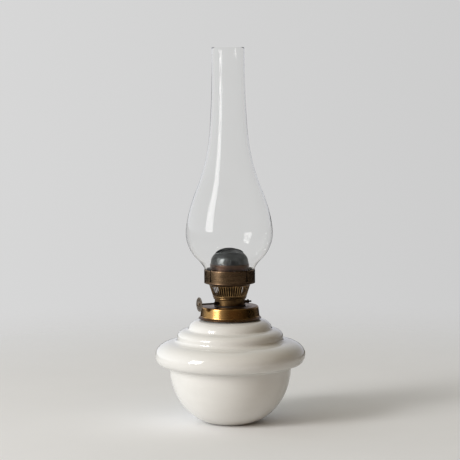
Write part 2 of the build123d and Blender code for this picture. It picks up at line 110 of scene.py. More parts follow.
class LAMP_PG_font(bpy.types.PropertyGroup):
    """Sizes of the glass font that its box does not give."""
    wall: size("Wall", 4.0, "Thickness of the glass")
    floor: size("Floor", 5.0, "Thickness of the font's bottom")
    foot_radius: size("Foot radius", 21.7, "Outside of the foot ring")
    foot_ring: size("Foot ring", 15.0, "Inside of the foot ring")
    foot_recess: size("Foot recess", 1.0, "Hollow inside the foot ring")
    crown_radius: size("Bowl crown", 12.5, "Radius at which the bowl's oval is centred")
    bowl_height: size("Bowl height", 57.8, "Foot up to the bulge's underside")
    seat_width: size("Seat width", 14.4, "Width of the bulge's underside")
    bulge_rise: size("Bulge rise", 11.2, "Bowl's top edge up to the widest line")
    under_depth: size("Underside depth", 9.3, "Depth of the bulge below its widest line")
    under_width: size("Underside width", 6.3, "Rounding of the bulge below its widest line")
    top_depth: size("Top depth", 13.5, "Depth of the bulge above its widest line")
    top_width: size("Top width", 19.3, "Rounding of the bulge above its widest line")
    cove: size("Cove", 2.7, "Hollow between the bulge and the wide step")
    overhang: size("Overhang", 22.4, "Bulge beyond the wide step")
    step_wall: size("Step wall", 2.7, "Straight side of the wide step")
    step_crown: size("Step crown", 6.8, "Rise of the wide step's rounding")
    step_round: size("Step round", 10.9, "Width of the wide step's rounding")
    step_tread: size("Step tread", 11.4, "Wide step beyond the narrow step")
    top_cove: size("Top cove", 0.6, "Hollow below the narrow step")
    top_crown: size("Top crown", 9.2, "Rise of the narrow step's rounding")
    top_round: size("Top round", 12.2, "Width of the narrow step's rounding")
    neck_radius: size("Neck radius", 24.0, "Outside of the neck in the plaster")
    neck_bore: size("Neck bore", 19.5, "Inside of the neck")
    neck_height: size("Neck height", 9.5, "Shoulder up to the neck's lip")
    crease: size("Crease", 0.9, "Softness of the pressed creases")


class LAMP_PG_brass(bpy.types.PropertyGroup):
    """Sizes of the collar, the burner and the winder."""
    sheet: size("Sheet", 0.6, "Thickness of the burner's brass")
    collar_sheet: size("Collar sheet", 0.7, "Thickness of the collar's brass")
    collar_flange: size("Collar flange", 2.0, "Width of the flange outside the wall")
    collar_taper: size("Collar taper", 0.9, "How far the collar's wall leans in")
    collar_shoulder: size("Collar shoulder", 1.6, "Rounding of the collar's top edge")
    flare_height: size("Flare height", 2.9, "Height of the curve from flange to wall")
    flange_lip: size("Flange lip", 0.8, "Height of the flange's edge")
    thread_pitch: size("Thread pitch", 1.8, "Rise of the burner's thread in one turn")
    thread_depth: size("Thread depth", 0.35, "Depth of the rolled thread")
    bead_height: size("Bead height", 1.7, "Height of each bead over the neck band")
    lower_bead: size("Lower bead", 1.3, "Lower bead beyond the neck band")
    upper_bead: size("Upper bead", 1.9, "Upper bead beyond the neck band")
    basket_lip: size("Basket lip", 1.4, "Height of the basket's flare under the gallery")
    slot_width: size("Slot width", 1.4, "Width of one air slot")
    slot_margin: size("Slot margin", 0.8, "Plain sheet above and below the slots")
    slot_count: count_of("Slot count", 50, 12, "Air slots round the basket")
    slit_width: size("Slit width", 1.1, "Width of the gallery's slits")
    relief_radius: size("Relief radius", 1.15, "Radius of the hole that ends each slit")
    relief_height: size("Relief height", 3.6, "Gallery's floor edge up to the relief holes")
    slit_count: count_of("Slit count", 4, 2, "Slits round the gallery")
    slit_angle: arc("First slit", 18.0, "Angle of the first slit")
    notch_count: count_of("Notch count", 28, 8, "Notches round the knob")
    notch_depth: size("Notch depth", 0.45, "Depth of the knob's notches")


class LAMP_PG_glass(bpy.types.PropertyGroup):
    """Sizes of the chimney and the dome."""
    wall: size("Wall", 1.6, "Thickness of the chimney's glass")
    foot_height: size("Foot height", 12.4, "Straight foot inside the gallery")
    bulb_height: size("Bulb height", 47.7, "Foot up to the widest line")
    top_radius: size("Top radius", 16.5, "Outside of the rim")
    foot_radius: size("Foot radius", 24.7, "Outside of the foot")
    dome_sheet: size("Dome sheet", 0.5, "Thickness of the dome's brass")
    slot_length: size("Slot length", 29.0, "Length of the dome's slot")
    slot_width: size("Slot width", 7.0, "Width of the dome's slot")
    lip_height: size("Lip height", 1.1, "How far the slot's lip stands up")
    lip_wall: size("Lip wall", 0.6, "Thickness of the slot's lip")


class LAMP_PG_colours(bpy.types.PropertyGroup):
    """Colours of the lamp's finishes."""
    opal: tint("Opal glass", (0.70, 0.692, 0.662), "White pressed glass")
    # The grime colour also tints the font darker and warmer towards its foot.
    opal_grime: tint("Grime", (0.47, 0.42, 0.33), "Dust and oil in the creases")
    collar: tint("Collar brass", (0.46, 0.255, 0.085), "Handled bright brass")
    # Collar tarnish is also painted shade: it darkens the collar's top plate and shoulder as the
    # dark reflection of the burner above them.
    collar_dark: tint("Collar tarnish", (0.055, 0.028, 0.017), "Tarnish on the collar")
    burner: tint("Burner brass", (0.225, 0.138, 0.060), "Aged stamped brass")
    # Burner tarnish is also painted shade: it darkens the basket into its flare under the gallery
    # and over its inside.
    burner_dark: tint("Burner tarnish", (0.055, 0.034, 0.020), "Tarnish on the burner")
    # Inner brass and inner soot are soot deepened by painted shade, so the inside of the burner
    # reads dark; inner soot is also the painted shadow line at the base's seat.
    inner: tint("Inner brass", (0.10, 0.065, 0.035), "Sooted brass inside the burner")
    inner_dark: tint("Inner soot", (0.022, 0.016, 0.011), "Soot inside the burner")
    gallery: tint("Gallery brass", (0.325, 0.210, 0.118), "Olive brown rolled brass")
    # Gallery tarnish is also painted shade: it darkens the gallery towards its foot and over its
    # inside.
    gallery_dark: tint("Gallery tarnish", (0.06, 0.036, 0.024), "Tarnish on the gallery")
    dome: tint("Dome", (0.066, 0.070, 0.070), "Heat-blackened brass")
    dome_dark: tint("Dome soot", (0.022, 0.023, 0.024), "Soot on the dome")
    ring: tint("Dome ring", (0.070, 0.040, 0.028), "Heat-reddened brass")
    ring_dark: tint("Dome ring tarnish", (0.025, 0.014, 0.010), "Burnt brass")
    knob: tint("Knob", (0.32, 0.26, 0.20), "Dull grey brown brass")
    knob_dark: tint("Knob tarnish", (0.14, 0.115, 0.09), "Grease in the knob's notches")
    steel: tint("Shaft steel", (0.20, 0.18, 0.165), "Drawn steel")
    steel_dark: tint("Shaft rust", (0.055, 0.04, 0.03), "Rust on the shaft")
    cotton: tint("Cotton", (0.66, 0.60, 0.47), "Wick cotton")
    char: tint("Char", (0.022, 0.018, 0.015), "Burnt end of the wick")
    plaster: tint("Plaster", (0.70, 0.67, 0.60), "Plaster under the collar")
    # Leather is oil-soaked and near black, darkened further so the washer also stands as the
    # painted shadow line under the burner's neck.
    leather: tint("Leather", (0.030, 0.020, 0.014), "Oil-soaked washer")


class LAMP_PG_stage(bpy.types.PropertyGroup):
    """Camera, lights and floor."""
    distance: metres("Camera distance", 1.9, "Camera to the lamp's axis")
    azimuth: arc("Azimuth", -24.0, "Side from which the lamp is seen")
    dip: arc("Dip", 5.5, "How far the camera looks down")
    roll: arc("Roll", 0.43, "Lean of the camera")
    height: metres("Camera height", 0.378, "Camera over the floor")
    side_step: size("Side step", 0.7, "Camera to the right of the lamp's axis")
    lens: FloatProperty(name="Lens", description="Focal length in millimetres", default=148.7)
    key_power: FloatProperty(name="Key power", description="Power of the window light",
                             default=62.0, subtype="POWER", unit="POWER")
    key_bearing: arc("Key bearing", 56.0, "Window light round from the camera, to its left")
    key_distance: metres("Key distance", 2.5, "Window light to the lamp's axis")
    key_height: metres("Key height", 1.175, "Middle of the window light over the floor")
    key_width: metres("Key width", 0.92, "Width of the window light")
    key_length: metres("Key length", 1.65, "Height of the window light")
    left_glow: glow("Left wall", (1.12, 1.20, 1.30), "Light from the window's side")
    back_glow: glow("Back wall", (0.76, 0.78, 0.86), "Light from behind the lamp")
    front_glow: glow("Front wall", (0.46, 0.31, 0.21), "Light from the camera's side")
    ceiling_glow: glow("Ceiling", (0.32, 0.30, 0.21), "Light from above")
    floor_shade: tint("Floor", (0.855, 0.855, 0.856), "Pale seamless floor")
    backdrop: tint("Backdrop", (0.645, 0.645, 0.645), "Pale ground behind the lamp")
    floor_radius: metres("Floor radius", 1.0, "Edge of the floor")
    fade_start: metres("Fade start", 0.2, "Where the floor starts to fade into the backdrop")
    fade_end: metres("Fade end", 0.92, "Where the floor has faded away")


SETTINGS = {"lamp_font": LAMP_PG_font, "lamp_brass": LAMP_PG_brass, "lamp_glass": LAMP_PG_glass,
            "lamp_colours": LAMP_PG_colours, "lamp_stage": LAMP_PG_stage}


# ---------------------------------------------------------------- node trees
class Field:
    """A socket that adds Math nodes to its tree when it meets an operator."""

    def __init__(self, web, socket):
        self.web = web
        self.socket = socket

    def math(self, operation, *values):
        return self.web.add("ShaderNodeMath", {"operation": operation}, dict(enumerate(values)))

    def __add__(self, other):
        return self.math("ADD", self, other)

    __radd__ = __add__

    def __sub__(self, other):
        return self.math("SUBTRACT", self, other)

    def __rsub__(self, other):
        return self.math("SUBTRACT", other, self)

    def __mul__(self, other):
        return self.math("MULTIPLY", self, other)

    def __truediv__(self, other):
        return self.math("DIVIDE", self, other)

    def __pow__(self, other):
        return self.math("POWER", self, other)

    def __gt__(self, other):
        return self.math("GREATER_THAN", self, other)

    def cosine(self):
        return self.math("COSINE", self)

    def larger(self, other):
        return self.math("MAXIMUM", self, other)

    def smaller(self, other):
        return self.math("MINIMUM", self, other)


class Web:
    """One node tree, shader or geometry, and the ways its nodes are added."""

    def __init__(self, tree):
        self.tree = tree

    def add(self, kind, settings=None, inputs=None, output=0):
        """Add a node: its settings first, then the values or links of its sockets."""
        node = self.tree.nodes.new(kind)
        for key, value in (settings or {}).items():
            setattr(node, key, value)
        for key, value in (inputs or {}).items():
            if isinstance(value, Field):
                self.tree.links.new(value.socket, node.inputs[key])
            else:
                node.inputs[key].default_value = value
        return Field(self, node.outputs[output]) if len(node.outputs) else node

    def rays(self, kind):
        """Whether a ray of light is of one kind."""
        return self.add("ShaderNodeLightPath", output=kind)

    def split(self, vector):
        node = self.add("ShaderNodeSeparateXYZ", inputs={0: vector}).socket.node
        return [Field(self, socket) for socket in node.outputs]

    def join(self, x, y, z):
        return self.add("ShaderNodeCombineXYZ", inputs={0: x, 1: y, 2: z})

    def noise(self, vector, scale, detail=4.0, roughness=0.55):
        return self.add("ShaderNodeTexNoise", {"noise_dimensions": "3D"},
                        {"Vector": vector, "Scale": scale, "Detail": detail,
                         "Roughness": roughness})

    def ramp(self, value, start, end, from_value=0.0, to_value=1.0):
        """Rise smoothly from one value to another between two places."""
        return self.add("ShaderNodeMapRange", {"interpolation_type": "SMOOTHSTEP"},
                        {"Value": value, "From Min": start, "From Max": end,
                         "To Min": from_value, "To Max": to_value})

    def skin(self, height, strength, distance, settings):
        """A Principled shader with a bump, and the rest of its inputs."""
        bump = self.add("ShaderNodeBump", inputs={
            "Strength": strength, "Distance": distance, "Height": height})
        return self.add("ShaderNodeBsdfPrincipled", inputs={**settings, "Normal": bump})

    def mix(self, factor, first, second):
        """Blend two colours, each a field or a plain colour."""
        plain = [tuple(c) + (1.0,) if not isinstance(c, Field) and len(c) == 3 else c
                 for c in (first, second)]
        return self.add("ShaderNodeMix", {"data_type": "RGBA"},
                        {0: factor, 6: plain[0], 7: plain[1]}, output=2)


def new_material(name):
    material = bpy.data.materials.new(name)
    material.use_nodes = True
    material.node_tree.nodes.clear()
    return material, Web(material.node_tree)


def finish_material(web, surface):
    web.add("ShaderNodeOutputMaterial", inputs={"Surface": surface})


def object_place(web):
    return web.add("ShaderNodeTexCoord", output="Object")


def around_axis(web, place, axis, centre):
    """Give the height along a turning axis, the distance from it and the angle round it."""
    x, y, z = web.split(place)
    if axis == "X":
        along, side, up = x, y - centre[1], z - centre[2]
    else:
        along, side, up = z, x, y
    radius = (side * side + up * up) ** 0.5
    angle = side.math("ARCTAN2", up, side)
    return along, radius, angle


def spun_metal(name, colour, dark, rough=(0.24, 0.5), tarnish=(0.40, 0.66), grain=70.0,
               axis="Z", centre=(0.0, 0.0, 0.0), relief=0.10, bands=(), soot_and_shade_hollow=None):
    """Brass that was turned or stamped: tarnish in clouds, fine lines round the axis, and
    dark bands that deepen from one height to another, and soot deepened by painted shade
    inside a cone given by two (radius, height) points."""
    material, web = new_material(name)
    place = object_place(web)
    along, radius, angle = around_axis(web, place, axis, centre)
    lathe = 1400.0
    lines = web.noise(web.join(along * lathe, radius * lathe, angle * 1.5), 1.0, 2.0)
    clouds = web.noise(place, grain, 6.0, 0.62)
    specks = web.noise(place, grain * 9.0, 3.0, 0.5)
    mask = web.ramp(clouds + specks * 0.25 - 0.12, tarnish[0], tarnish[1])
    for start, end, strength in bands:
        mask = mask.larger(web.ramp(along + (clouds - 0.5) * 0.004, start, end) * strength)
    # Painted shade over the soot: inside the cone the surface is fully dark, at three tenths of
    # the dark colour.
    if soot_and_shade_hollow:
        (r0, z0), (r1, z1) = soot_and_shade_hollow
        cone = (along - z0) * ((r1 - r0) / (z1 - z0)) + r0
        mask = mask.larger(cone > radius)
        dark = web.mix(cone > radius, dark, tuple(channel * 0.3 for channel in dark))
    base = web.mix(mask, colour, dark)
    freckles = web.ramp(specks, 0.62, 0.72) * 0.55
    base = web.mix(freckles, base, dark)
    roughness = rough[0] + mask * (rough[1] - rough[0]) + (lines - 0.5) * 0.14
    finish_material(web, web.skin(
        lines * 0.6 + clouds * 0.8 + specks * 0.3, relief, 0.3 * MM,
        {"Base Color": base, "Metallic": 1.0, "Roughness": roughness}))
    return material


def opal_glass(colours):
    """White pressed glass, fire-polished, with faint grime in clouds and pits, and darker and
    warmer towards its foot.
    """
    material, web = new_material("opal_glass_pressed")
    place = object_place(web)
    x, y, z = web.split(place)
    clouds = web.noise(place, 26.0, 5.0, 0.6)
    swirl = web.noise(web.join(x * 0.6, y * 0.6, z * 2.2), 55.0, 3.0, 0.5)
    pits = web.noise(place, 900.0, 2.0, 0.5)
    # Darker and warmer over the lowest 12 mm, towards the foot.
    foot = web.ramp(z, 0.012, 0.0)
    grime_and_foot_tint = (foot * 0.35 + web.ramp(clouds, 0.58, 0.78) * 0.10
            + web.ramp(pits, 0.70, 0.78) * 0.22).smaller(1.0)
    base = web.mix(grime_and_foot_tint, colours.opal, colours.opal_grime)
    milk = tuple(min(1.0, channel * 1.04) for channel in colours.opal)
    base = web.mix(web.ramp(swirl, 0.4, 0.7) * 0.5, base, milk)
    gloss = 0.05 + grime_and_foot_tint * 0.35 + web.ramp(clouds, 0.3, 0.8) * 0.05
    finish_material(web, web.skin(clouds * 0.5 + swirl * 0.5, 0.16, 0.6 * MM,
                                  {"Base Color": base, "Roughness": gloss, "IOR": 1.5}))
    return material


def chimney_glass():
    """Thin clear glass with slow waves; lamps shine through it without a hard shadow."""
    material, web = new_material("clear_glass_blown")
    place = object_place(web)
    x, y, z = web.split(place)
    waves = web.noise(web.join(x, y, z * 0.45), 34.0, 1.5, 0.45)
    seeds = web.noise(place, 600.0, 1.0, 0.5)
    film = web.ramp(web.noise(place, 40.0, 5.0, 0.6), 0.45, 0.8)
    colour = web.mix(film, (0.978, 0.979, 0.975), (0.966, 0.967, 0.960))
    glass = web.skin(waves + web.ramp(seeds, 0.74, 0.8) * 0.01, 0.09, 4.0 * MM,
                     {"Base Color": colour, "Roughness": 0.0, "IOR": 1.22,
                      "Specular IOR Level": 1.4, "Transmission Weight": 1.0})
    through = web.rays("Is Shadow Ray").larger(web.rays("Is Diffuse Ray"))
    clear = web.add("ShaderNodeBsdfTransparent", inputs={"Color": (0.945, 0.946, 0.94, 1.0)})
    finish_material(web, web.add("ShaderNodeMixShader", inputs={0: through, 1: glass, 2: clear}))
    return material


def woven_cotton(colours, char_start, char_end, width):
    """Wick tape: warp cords along its length, weft across, burnt at the top."""
    material, web = new_material("wick_cotton_woven")
    place = object_place(web)
    x, y, z = web.split(place)
    weft_pitch = 1.5 * MM
    warp = (x * (2.0 * math.pi * WICK_CORDS / width)).cosine()
    weft = (z * (2.0 * math.pi / weft_pitch) + (x * (math.pi * WICK_CORDS / width))).cosine()
    fuzz = web.noise(place, 1800.0, 3.0, 0.6)
    stain = web.noise(place, 70.0, 5.0, 0.6)
    shade = web.ramp(warp * 0.5 + weft * 0.25 + fuzz * 0.5, -0.5, 0.9)
    dim = tuple(channel * 0.55 for channel in colours.cotton)
    base = web.mix(shade, dim, colours.cotton)
    oiled = tuple(channel * f for channel, f in zip(colours.cotton, (0.62, 0.50, 0.32)))
    base = web.mix(web.ramp(stain, 0.42, 0.7) * 0.6, base, oiled)
    burnt = web.ramp(z + (stain - 0.5) * 0.006, char_start, char_end)
    base = web.mix(burnt, base, colours.char)
    finish_material(web, web.skin(shade + fuzz * 0.4, 0.5, 0.4 * MM,
                                  {"Base Color": base, "Roughness": 0.92}))
    return material


def dull_solid(name, colour, grain, depth, roughness):
    """Plaster or leather: a matt ground with darker grain and a rough skin."""
    material, web = new_material(name)
    place = object_place(web)
    coarse = web.noise(place, grain, 5.0, 0.6)
    fine = web.noise(place, grain * 7.0, 4.0, 0.6)
    dark = tuple(channel * 0.55 for channel in colour)
    base = web.mix(web.ramp(coarse * 0.6 + fine * 0.4, 0.38, 0.62), dark, colour)
    finish_material(web, web.skin(
        coarse * 0.5 + fine * 0.5, 0.6, depth,
        {"Base Color": base, "Roughness": roughness + (fine - 0.5) * 0.2}))
    return material


# ---------------------------------------------------------------- section lines
class Outline:
    """A closed section in radius and height, drawn from point to point."""

    def __init__(self, *points):
        self.points = [Vector(point) for point in points]

    def line(self, *points):
        self.points += [Vector(point) for point in points]
        return self

    def oval(self, centre, half, start, turn, steps=18):
        """Part of an ellipse, from a start angle through a turn, in degrees."""
        for step in range(steps + 1):
            angle = math.radians(start + turn * step / steps)
            spoke = Vector((half[0] * math.cos(angle), half[1] * math.sin(angle)))
            self.points.append(Vector(centre) + spoke)
        return self

    def bend(self, end, leaving, steps=12):
        """An arc to an end point that leaves the last point in a given direction."""
        start = self.points[-1]
        chord = Vector(end) - start
        ahead = Vector(leaving).normalized()
        side = Vector((-ahead.y, ahead.x))
        across = chord.dot(side)
        centre = start + side * (chord.length_squared / (2.0 * across))
        sweep = 2.0 * math.atan2(across, chord.dot(ahead))
        for step in range(1, steps + 1):
            turned = Matrix.Rotation(sweep * step / steps, 2) @ (start - centre)
            self.points.append(centre + turned)
        return self

    def softened(self, step, passes):
        """The line cut into even steps, with its corners eased by a few passes."""
        ring = self.points + [self.points[0]]
        lengths = [(b - a).length for a, b in zip(ring, ring[1:])]
        total = sum(lengths)
        count = max(12, round(total / step))
        made = []
        leg, travelled = 0, 0.0
        for number in range(count):
            target = total * number / count
            while travelled + lengths[leg] < target:
                travelled += lengths[leg]
                leg += 1
            share = (target - travelled) / max(lengths[leg], 1e-9)
            made.append(ring[leg].lerp(ring[leg + 1], share))
        for _ in range(passes):
            made = [(made[i - 1] + 2.0 * made[i] + made[(i + 1) % count]) / 4.0
                    for i in range(count)]
        area = sum(made[i - 1].cross(made[i]) for i in range(count))
        return made if area < 0.0 else made[::-1]


def smooth_through(knots, low_slope, high_slope, step):
    """Cubic curve through (height, radius) knots, given as points an even step apart."""
    slopes = [low_slope]
    for before, here, after in zip(knots, knots[1:], knots[2:]):
        slopes.append((after[1] - before[1]) / (after[0] - before[0]))
    slopes.append(high_slope)
    points = []
    for (z0, r0), (z1, r1), s0, s1 in zip(knots, knots[1:], slopes, slopes[1:]):
        span = z1 - z0
        count = max(1, round(span / step))
        for number in range(count):
            t = number / count
            radius = ((1 + 2 * t) * (1 - t) ** 2 * r0 + t * (1 - t) ** 2 * span * s0
                      + t * t * (3 - 2 * t) * r1 - t * t * (1 - t) * span * s1)
            points.append((radius, z0 + span * t))
    points.append((knots[-1][1], knots[-1][0]))
    return points


# ---------------------------------------------------------------- geometry trees
def open_tree(name, *inputs):
    """Start a geometry tree with named inputs and a smooth-shaded, dressed ending."""
    tree = bpy.data.node_groups.new(name, "GeometryNodeTree")
    tree.interface.new_socket("Geometry", in_out="INPUT", socket_type="NodeSocketGeometry")
    for label, kind in inputs:
        tree.interface.new_socket(label, in_out="INPUT", socket_type="NodeSocket" + kind)
    tree.interface.new_socket("Finish", in_out="INPUT", socket_type="NodeSocketMaterial")
    tree.interface.new_socket("Geometry", in_out="OUTPUT", socket_type="NodeSocketGeometry")
    web = Web(tree)
    node = tree.nodes.new("NodeGroupInput")
    fields = {socket.name: Field(web, socket) for socket in node.outputs if socket.name}
    return tree, web, fields


def close_tree(web, geometry, finish):
    """End a geometry tree: smooth faces, sharp folds, plain mesh, material."""
    smooth = web.add("GeometryNodeSetShadeSmooth", {"domain": "FACE"}, {"Geometry": geometry})
    fold = web.add("GeometryNodeInputMeshEdgeAngle") > SHARP_ANGLE
    sharp = web.add("GeometryNodeSetShadeSmooth", {"domain": "EDGE"},
                    {"Geometry": smooth, "Selection": fold, "Shade Smooth": False})
    real = web.add("GeometryNodeRealizeInstances", inputs={"Geometry": sharp})
    dressed = web.add("GeometryNodeSetMaterial", inputs={"Geometry": real, "Material": finish})
    web.add("NodeGroupOutput", inputs={"Geometry": dressed})


def sweep_section(web, section, segments, radius):
    """Carry a section, drawn in radius and height, once round the lamp's axis."""
    line = web.add("GeometryNodeMeshToCurve", inputs={"Mesh": section})
    shift = web.join(radius * -1.0, 0.0, 0.0)
    placed = web.add("GeometryNodeTransform", inputs={
        "Geometry": line, "Translation": shift, "Scale": (1.0, -1.0, 1.0)})
    ring = web.add("GeometryNodeCurvePrimitiveCircle", {"mode": "RADIUS"},
                   {"Resolution": segments, "Radius": radius})
    return web.add("GeometryNodeCurveToMesh", inputs={"Curve": ring, "Profile Curve": placed})


def turned_tree():
    """A section turned about the axis."""
    tree, web, fields = open_tree("Turned Surface", ("Segments", "Int"),
                                  ("Turning Radius", "Float"))
    surface = sweep_section(web, fields["Geometry"], fields["Segments"], fields["Turning Radius"])
    close_tree(web, surface, fields["Finish"])
    return tree


def threaded_tree():
    """A turned section whose outer wall carries a rolled right-handed thread."""
    tree, web, fields = open_tree(
        "Threaded Skirt", ("Segments", "Int"), ("Turning Radius", "Float"), ("Pitch", "Float"),
        ("Depth", "Float"), ("Wall Radius", "Float"), ("Thread Bottom", "Float"),
        ("Thread Top", "Float"))
    surface = sweep_section(web, fields["Geometry"], fields["Segments"], fields["Turning Radius"])
    place = web.add("GeometryNodeInputPosition")
    x, y, z = web.split(place)
    radius = (x * x + y * y) ** 0.5
    angle = x.math("ARCTAN2", y, x)
    wave = ((z / fields["Pitch"]) * (2.0 * math.pi) - angle).cosine()
    fade = web.ramp(z, fields["Thread Bottom"], fields["Thread Bottom"] + fields["Pitch"])
    fade = fade * web.ramp(z, fields["Thread Top"], fields["Thread Top"] - fields["Pitch"])
    outside = radius > fields["Wall Radius"]
    cut = (wave - 1.0) * fields["Depth"] * 0.5 * fade * outside
    offset = web.join(x / radius * cut, y / radius * cut, 0.0)
    rolled = web.add("GeometryNodeSetPosition", inputs={"Geometry": surface, "Offset": offset})
    close_tree(web, rolled, fields["Finish"])
    return tree


def slit_tree():
    """A turned band with keyhole slits cut down from its top edge."""
    tree, web, fields = open_tree(
        "Slit Band", ("Segments", "Int"), ("Turning Radius", "Float"), ("Count", "Int"),
        ("First Angle", "Float"), ("Slit Width", "Float"), ("Relief Radius", "Float"),
        ("Relief Height", "Float"), ("Band Radius", "Float"), ("Reach", "Float"))
    band = sweep_section(web, fields["Geometry"], fields["Segments"], fields["Turning Radius"])
    reach = fields["Reach"]
    slit = web.add("GeometryNodeMeshCube", inputs={
        "Size": web.join(reach, fields["Slit Width"], reach * 4.0)})
    raised = web.add("GeometryNodeTransform", inputs={
        "Geometry": slit, "Translation": web.join(0.0, 0.0, reach * 2.0)})
    hole = web.add("GeometryNodeMeshCylinder", inputs={
        "Vertices": 24, "Radius": fields["Relief Radius"], "Depth": reach})
    level = web.add("GeometryNodeTransform", inputs={
        "Geometry": hole, "Rotation": (0.0, math.pi / 2.0, 0.0)})
    keyhole = web.tree.nodes.new("GeometryNodeJoinGeometry")
    web.tree.links.new(raised.socket, keyhole.inputs[0])
    web.tree.links.new(level.socket, keyhole.inputs[0])
    outward = web.add("GeometryNodeTransform", inputs={
        "Geometry": Field(web, keyhole.outputs[0]),
        "Translation": web.join(fields["Band Radius"], 0.0, fields["Relief Height"])})
    points = web.add("GeometryNodePoints", inputs={"Count": fields["Count"]})
    turn = web.add("GeometryNodeInputIndex") * (2.0 * math.pi) / fields["Count"]
    cutters = web.add("GeometryNodeInstanceOnPoints", inputs={
        "Points": points, "Instance": outward,
        "Rotation": web.join(0.0, 0.0, turn + fields["First Angle"])})
    real = web.add("GeometryNodeRealizeInstances", inputs={"Geometry": cutters})
    cut = web.add("GeometryNodeMeshBoolean", {"operation": "DIFFERENCE", "solver": "EXACT"},
                  {"Mesh 1": band, "Mesh 2": real, "Self Intersection": True})
    close_tree(web, cut, fields["Finish"])
    return tree


def round_row_tree():
    """One cell repeated round the axis and joined to its neighbours."""
    tree, web, fields = open_tree("Round Row", ("Count", "Int"), ("Join Distance", "Float"))
    points = web.add("GeometryNodePoints", inputs={"Count": fields["Count"]})
    turn = web.add("GeometryNodeInputIndex") * (2.0 * math.pi) / fields["Count"]
    row = web.add("GeometryNodeInstanceOnPoints", inputs={
        "Points": points, "Instance": fields["Geometry"], "Rotation": web.join(0.0, 0.0, turn)})
    real = web.add("GeometryNodeRealizeInstances", inputs={"Geometry": row})
    joined = web.add("GeometryNodeMergeByDistance", inputs={
        "Geometry": real, "Distance": fields["Join Distance"]})
    close_tree(web, joined, fields["Finish"])
    return tree


def linked(name, data):
    """A new object in the scene."""
    item = bpy.data.objects.new(name, data)
    bpy.context.scene.collection.objects.link(item)
    return item


def shape_by(tree, name, seed_mesh, values):
    """Run a geometry tree on a mesh with its named inputs set, and keep the plain result."""
    seed = linked(name + "_seed", seed_mesh)
    modifier = seed.modifiers.new("shape", "NODES")
    modifier.node_group = tree
    sockets = {item.name: item.identifier for item in tree.interface.items_tree
               if item.in_out == "INPUT"}
    for label, value in values.items():
        modifier[sockets[label]] = value
    shown = seed.evaluated_get(bpy.context.evaluated_depsgraph_get())
    mesh = bpy.data.meshes.new_from_object(shown)
    seed.modifiers.remove(modifier)
    bpy.data.objects.remove(seed)
    if not mesh.polygons:
        raise RuntimeError(name + " came out empty")
    mesh.materials.clear()
    mesh.materials.append(values["Finish"])
    mesh.polygons.foreach_set("material_index", [0] * len(mesh.polygons))
    return mesh


def section_mesh(points):
    """The seed of a turned piece: its section as a ring of edges."""
    mesh = bpy.data.meshes.new("section")
    count = len(points)
    mesh.from_pydata([(p.x, p.y, 0.0) for p in points],
                     [(i, (i + 1) % count) for i in range(count)], [])
    return mesh


def turned(name, points, segments, finish, tree_name="Turned Surface", **extra):
    """Turn a section into a mesh with one of the turning trees."""
    tree = bpy.data.node_groups.get(tree_name)
    values = {"Segments": segments, "Turning Radius": TURNING_RADIUS, "Finish": finish}
    values.update({label.replace("_", " ").title(): value for label, value in extra.items()})
    return shape_by(tree, name, section_mesh(points), values)


def row_of(name, vertices, faces, count, finish):
    """Repeat one cell round the axis with the row tree."""
    cell = bpy.data.meshes.new("cell")
    cell.from_pydata(vertices, [], faces)
    cell.validate()
    values = {"Count": count, "Join Distance": JOIN_DISTANCE, "Finish": finish}
    return shape_by(bpy.data.node_groups["Round Row"], name, cell, values)


# ---------------------------------------------------------------- placing pieces
def place_piece(name, mesh, body, nodes):
    """Make a finished piece ride with its body and stand for its CAD nodes."""
    mesh.name = name
    piece = linked(name, mesh)
    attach(piece, body)
    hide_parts(*nodes)
    return piece


def dress(material, *nodes):
    """Give CAD pieces whose shape stays a procedural material."""
    for node in nodes:
        for slot in bpy.data.objects[node].material_slots:
            slot.material = material


def mesh_from(vertices, faces, material, sharp_angle=SHARP_ANGLE):
    """A mesh with outward faces, smooth but for its folds."""
    mesh = bpy.data.meshes.new("piece")
    mesh.from_pydata(vertices, [], faces)
    shape = bmesh.new()
    shape.from_mesh(mesh)
    bmesh.ops.remove_doubles(shape, verts=shape.verts, dist=1e-6)
    bmesh.ops.recalc_face_normals(shape, faces=shape.faces)
    for face in shape.faces:
        face.smooth = True
    for edge in shape.edges:
        edge.smooth = len(edge.link_faces) == 2 and edge.calc_face_angle() < sharp_angle
    shape.to_mesh(mesh)
    shape.free()
    mesh.materials.append(material)
    return mesh


def close_poles(mesh):
    """Weld the points that meet on the axis, and leave no loose edge between them."""
    shape = bmesh.new()
    shape.from_mesh(mesh)
    poles = [vertex for vertex in shape.verts if vertex.co.xy.length < 1e-6]
    bmesh.ops.remove_doubles(shape, verts=poles, dist=1e-6)
    loose = [edge for edge in shape.edges if not edge.link_faces]
    bmesh.ops.delete(shape, geom=loose, context="EDGES")
    shape.to_mesh(mesh)
    shape.free()


def ring_faces(first, second, count):
    """Four-sided faces between two closed loops of vertices, by their first numbers."""
    return [(first + i, first + (i + 1) % count, second + (i + 1) % count, second + i)
            for i in range(count)]


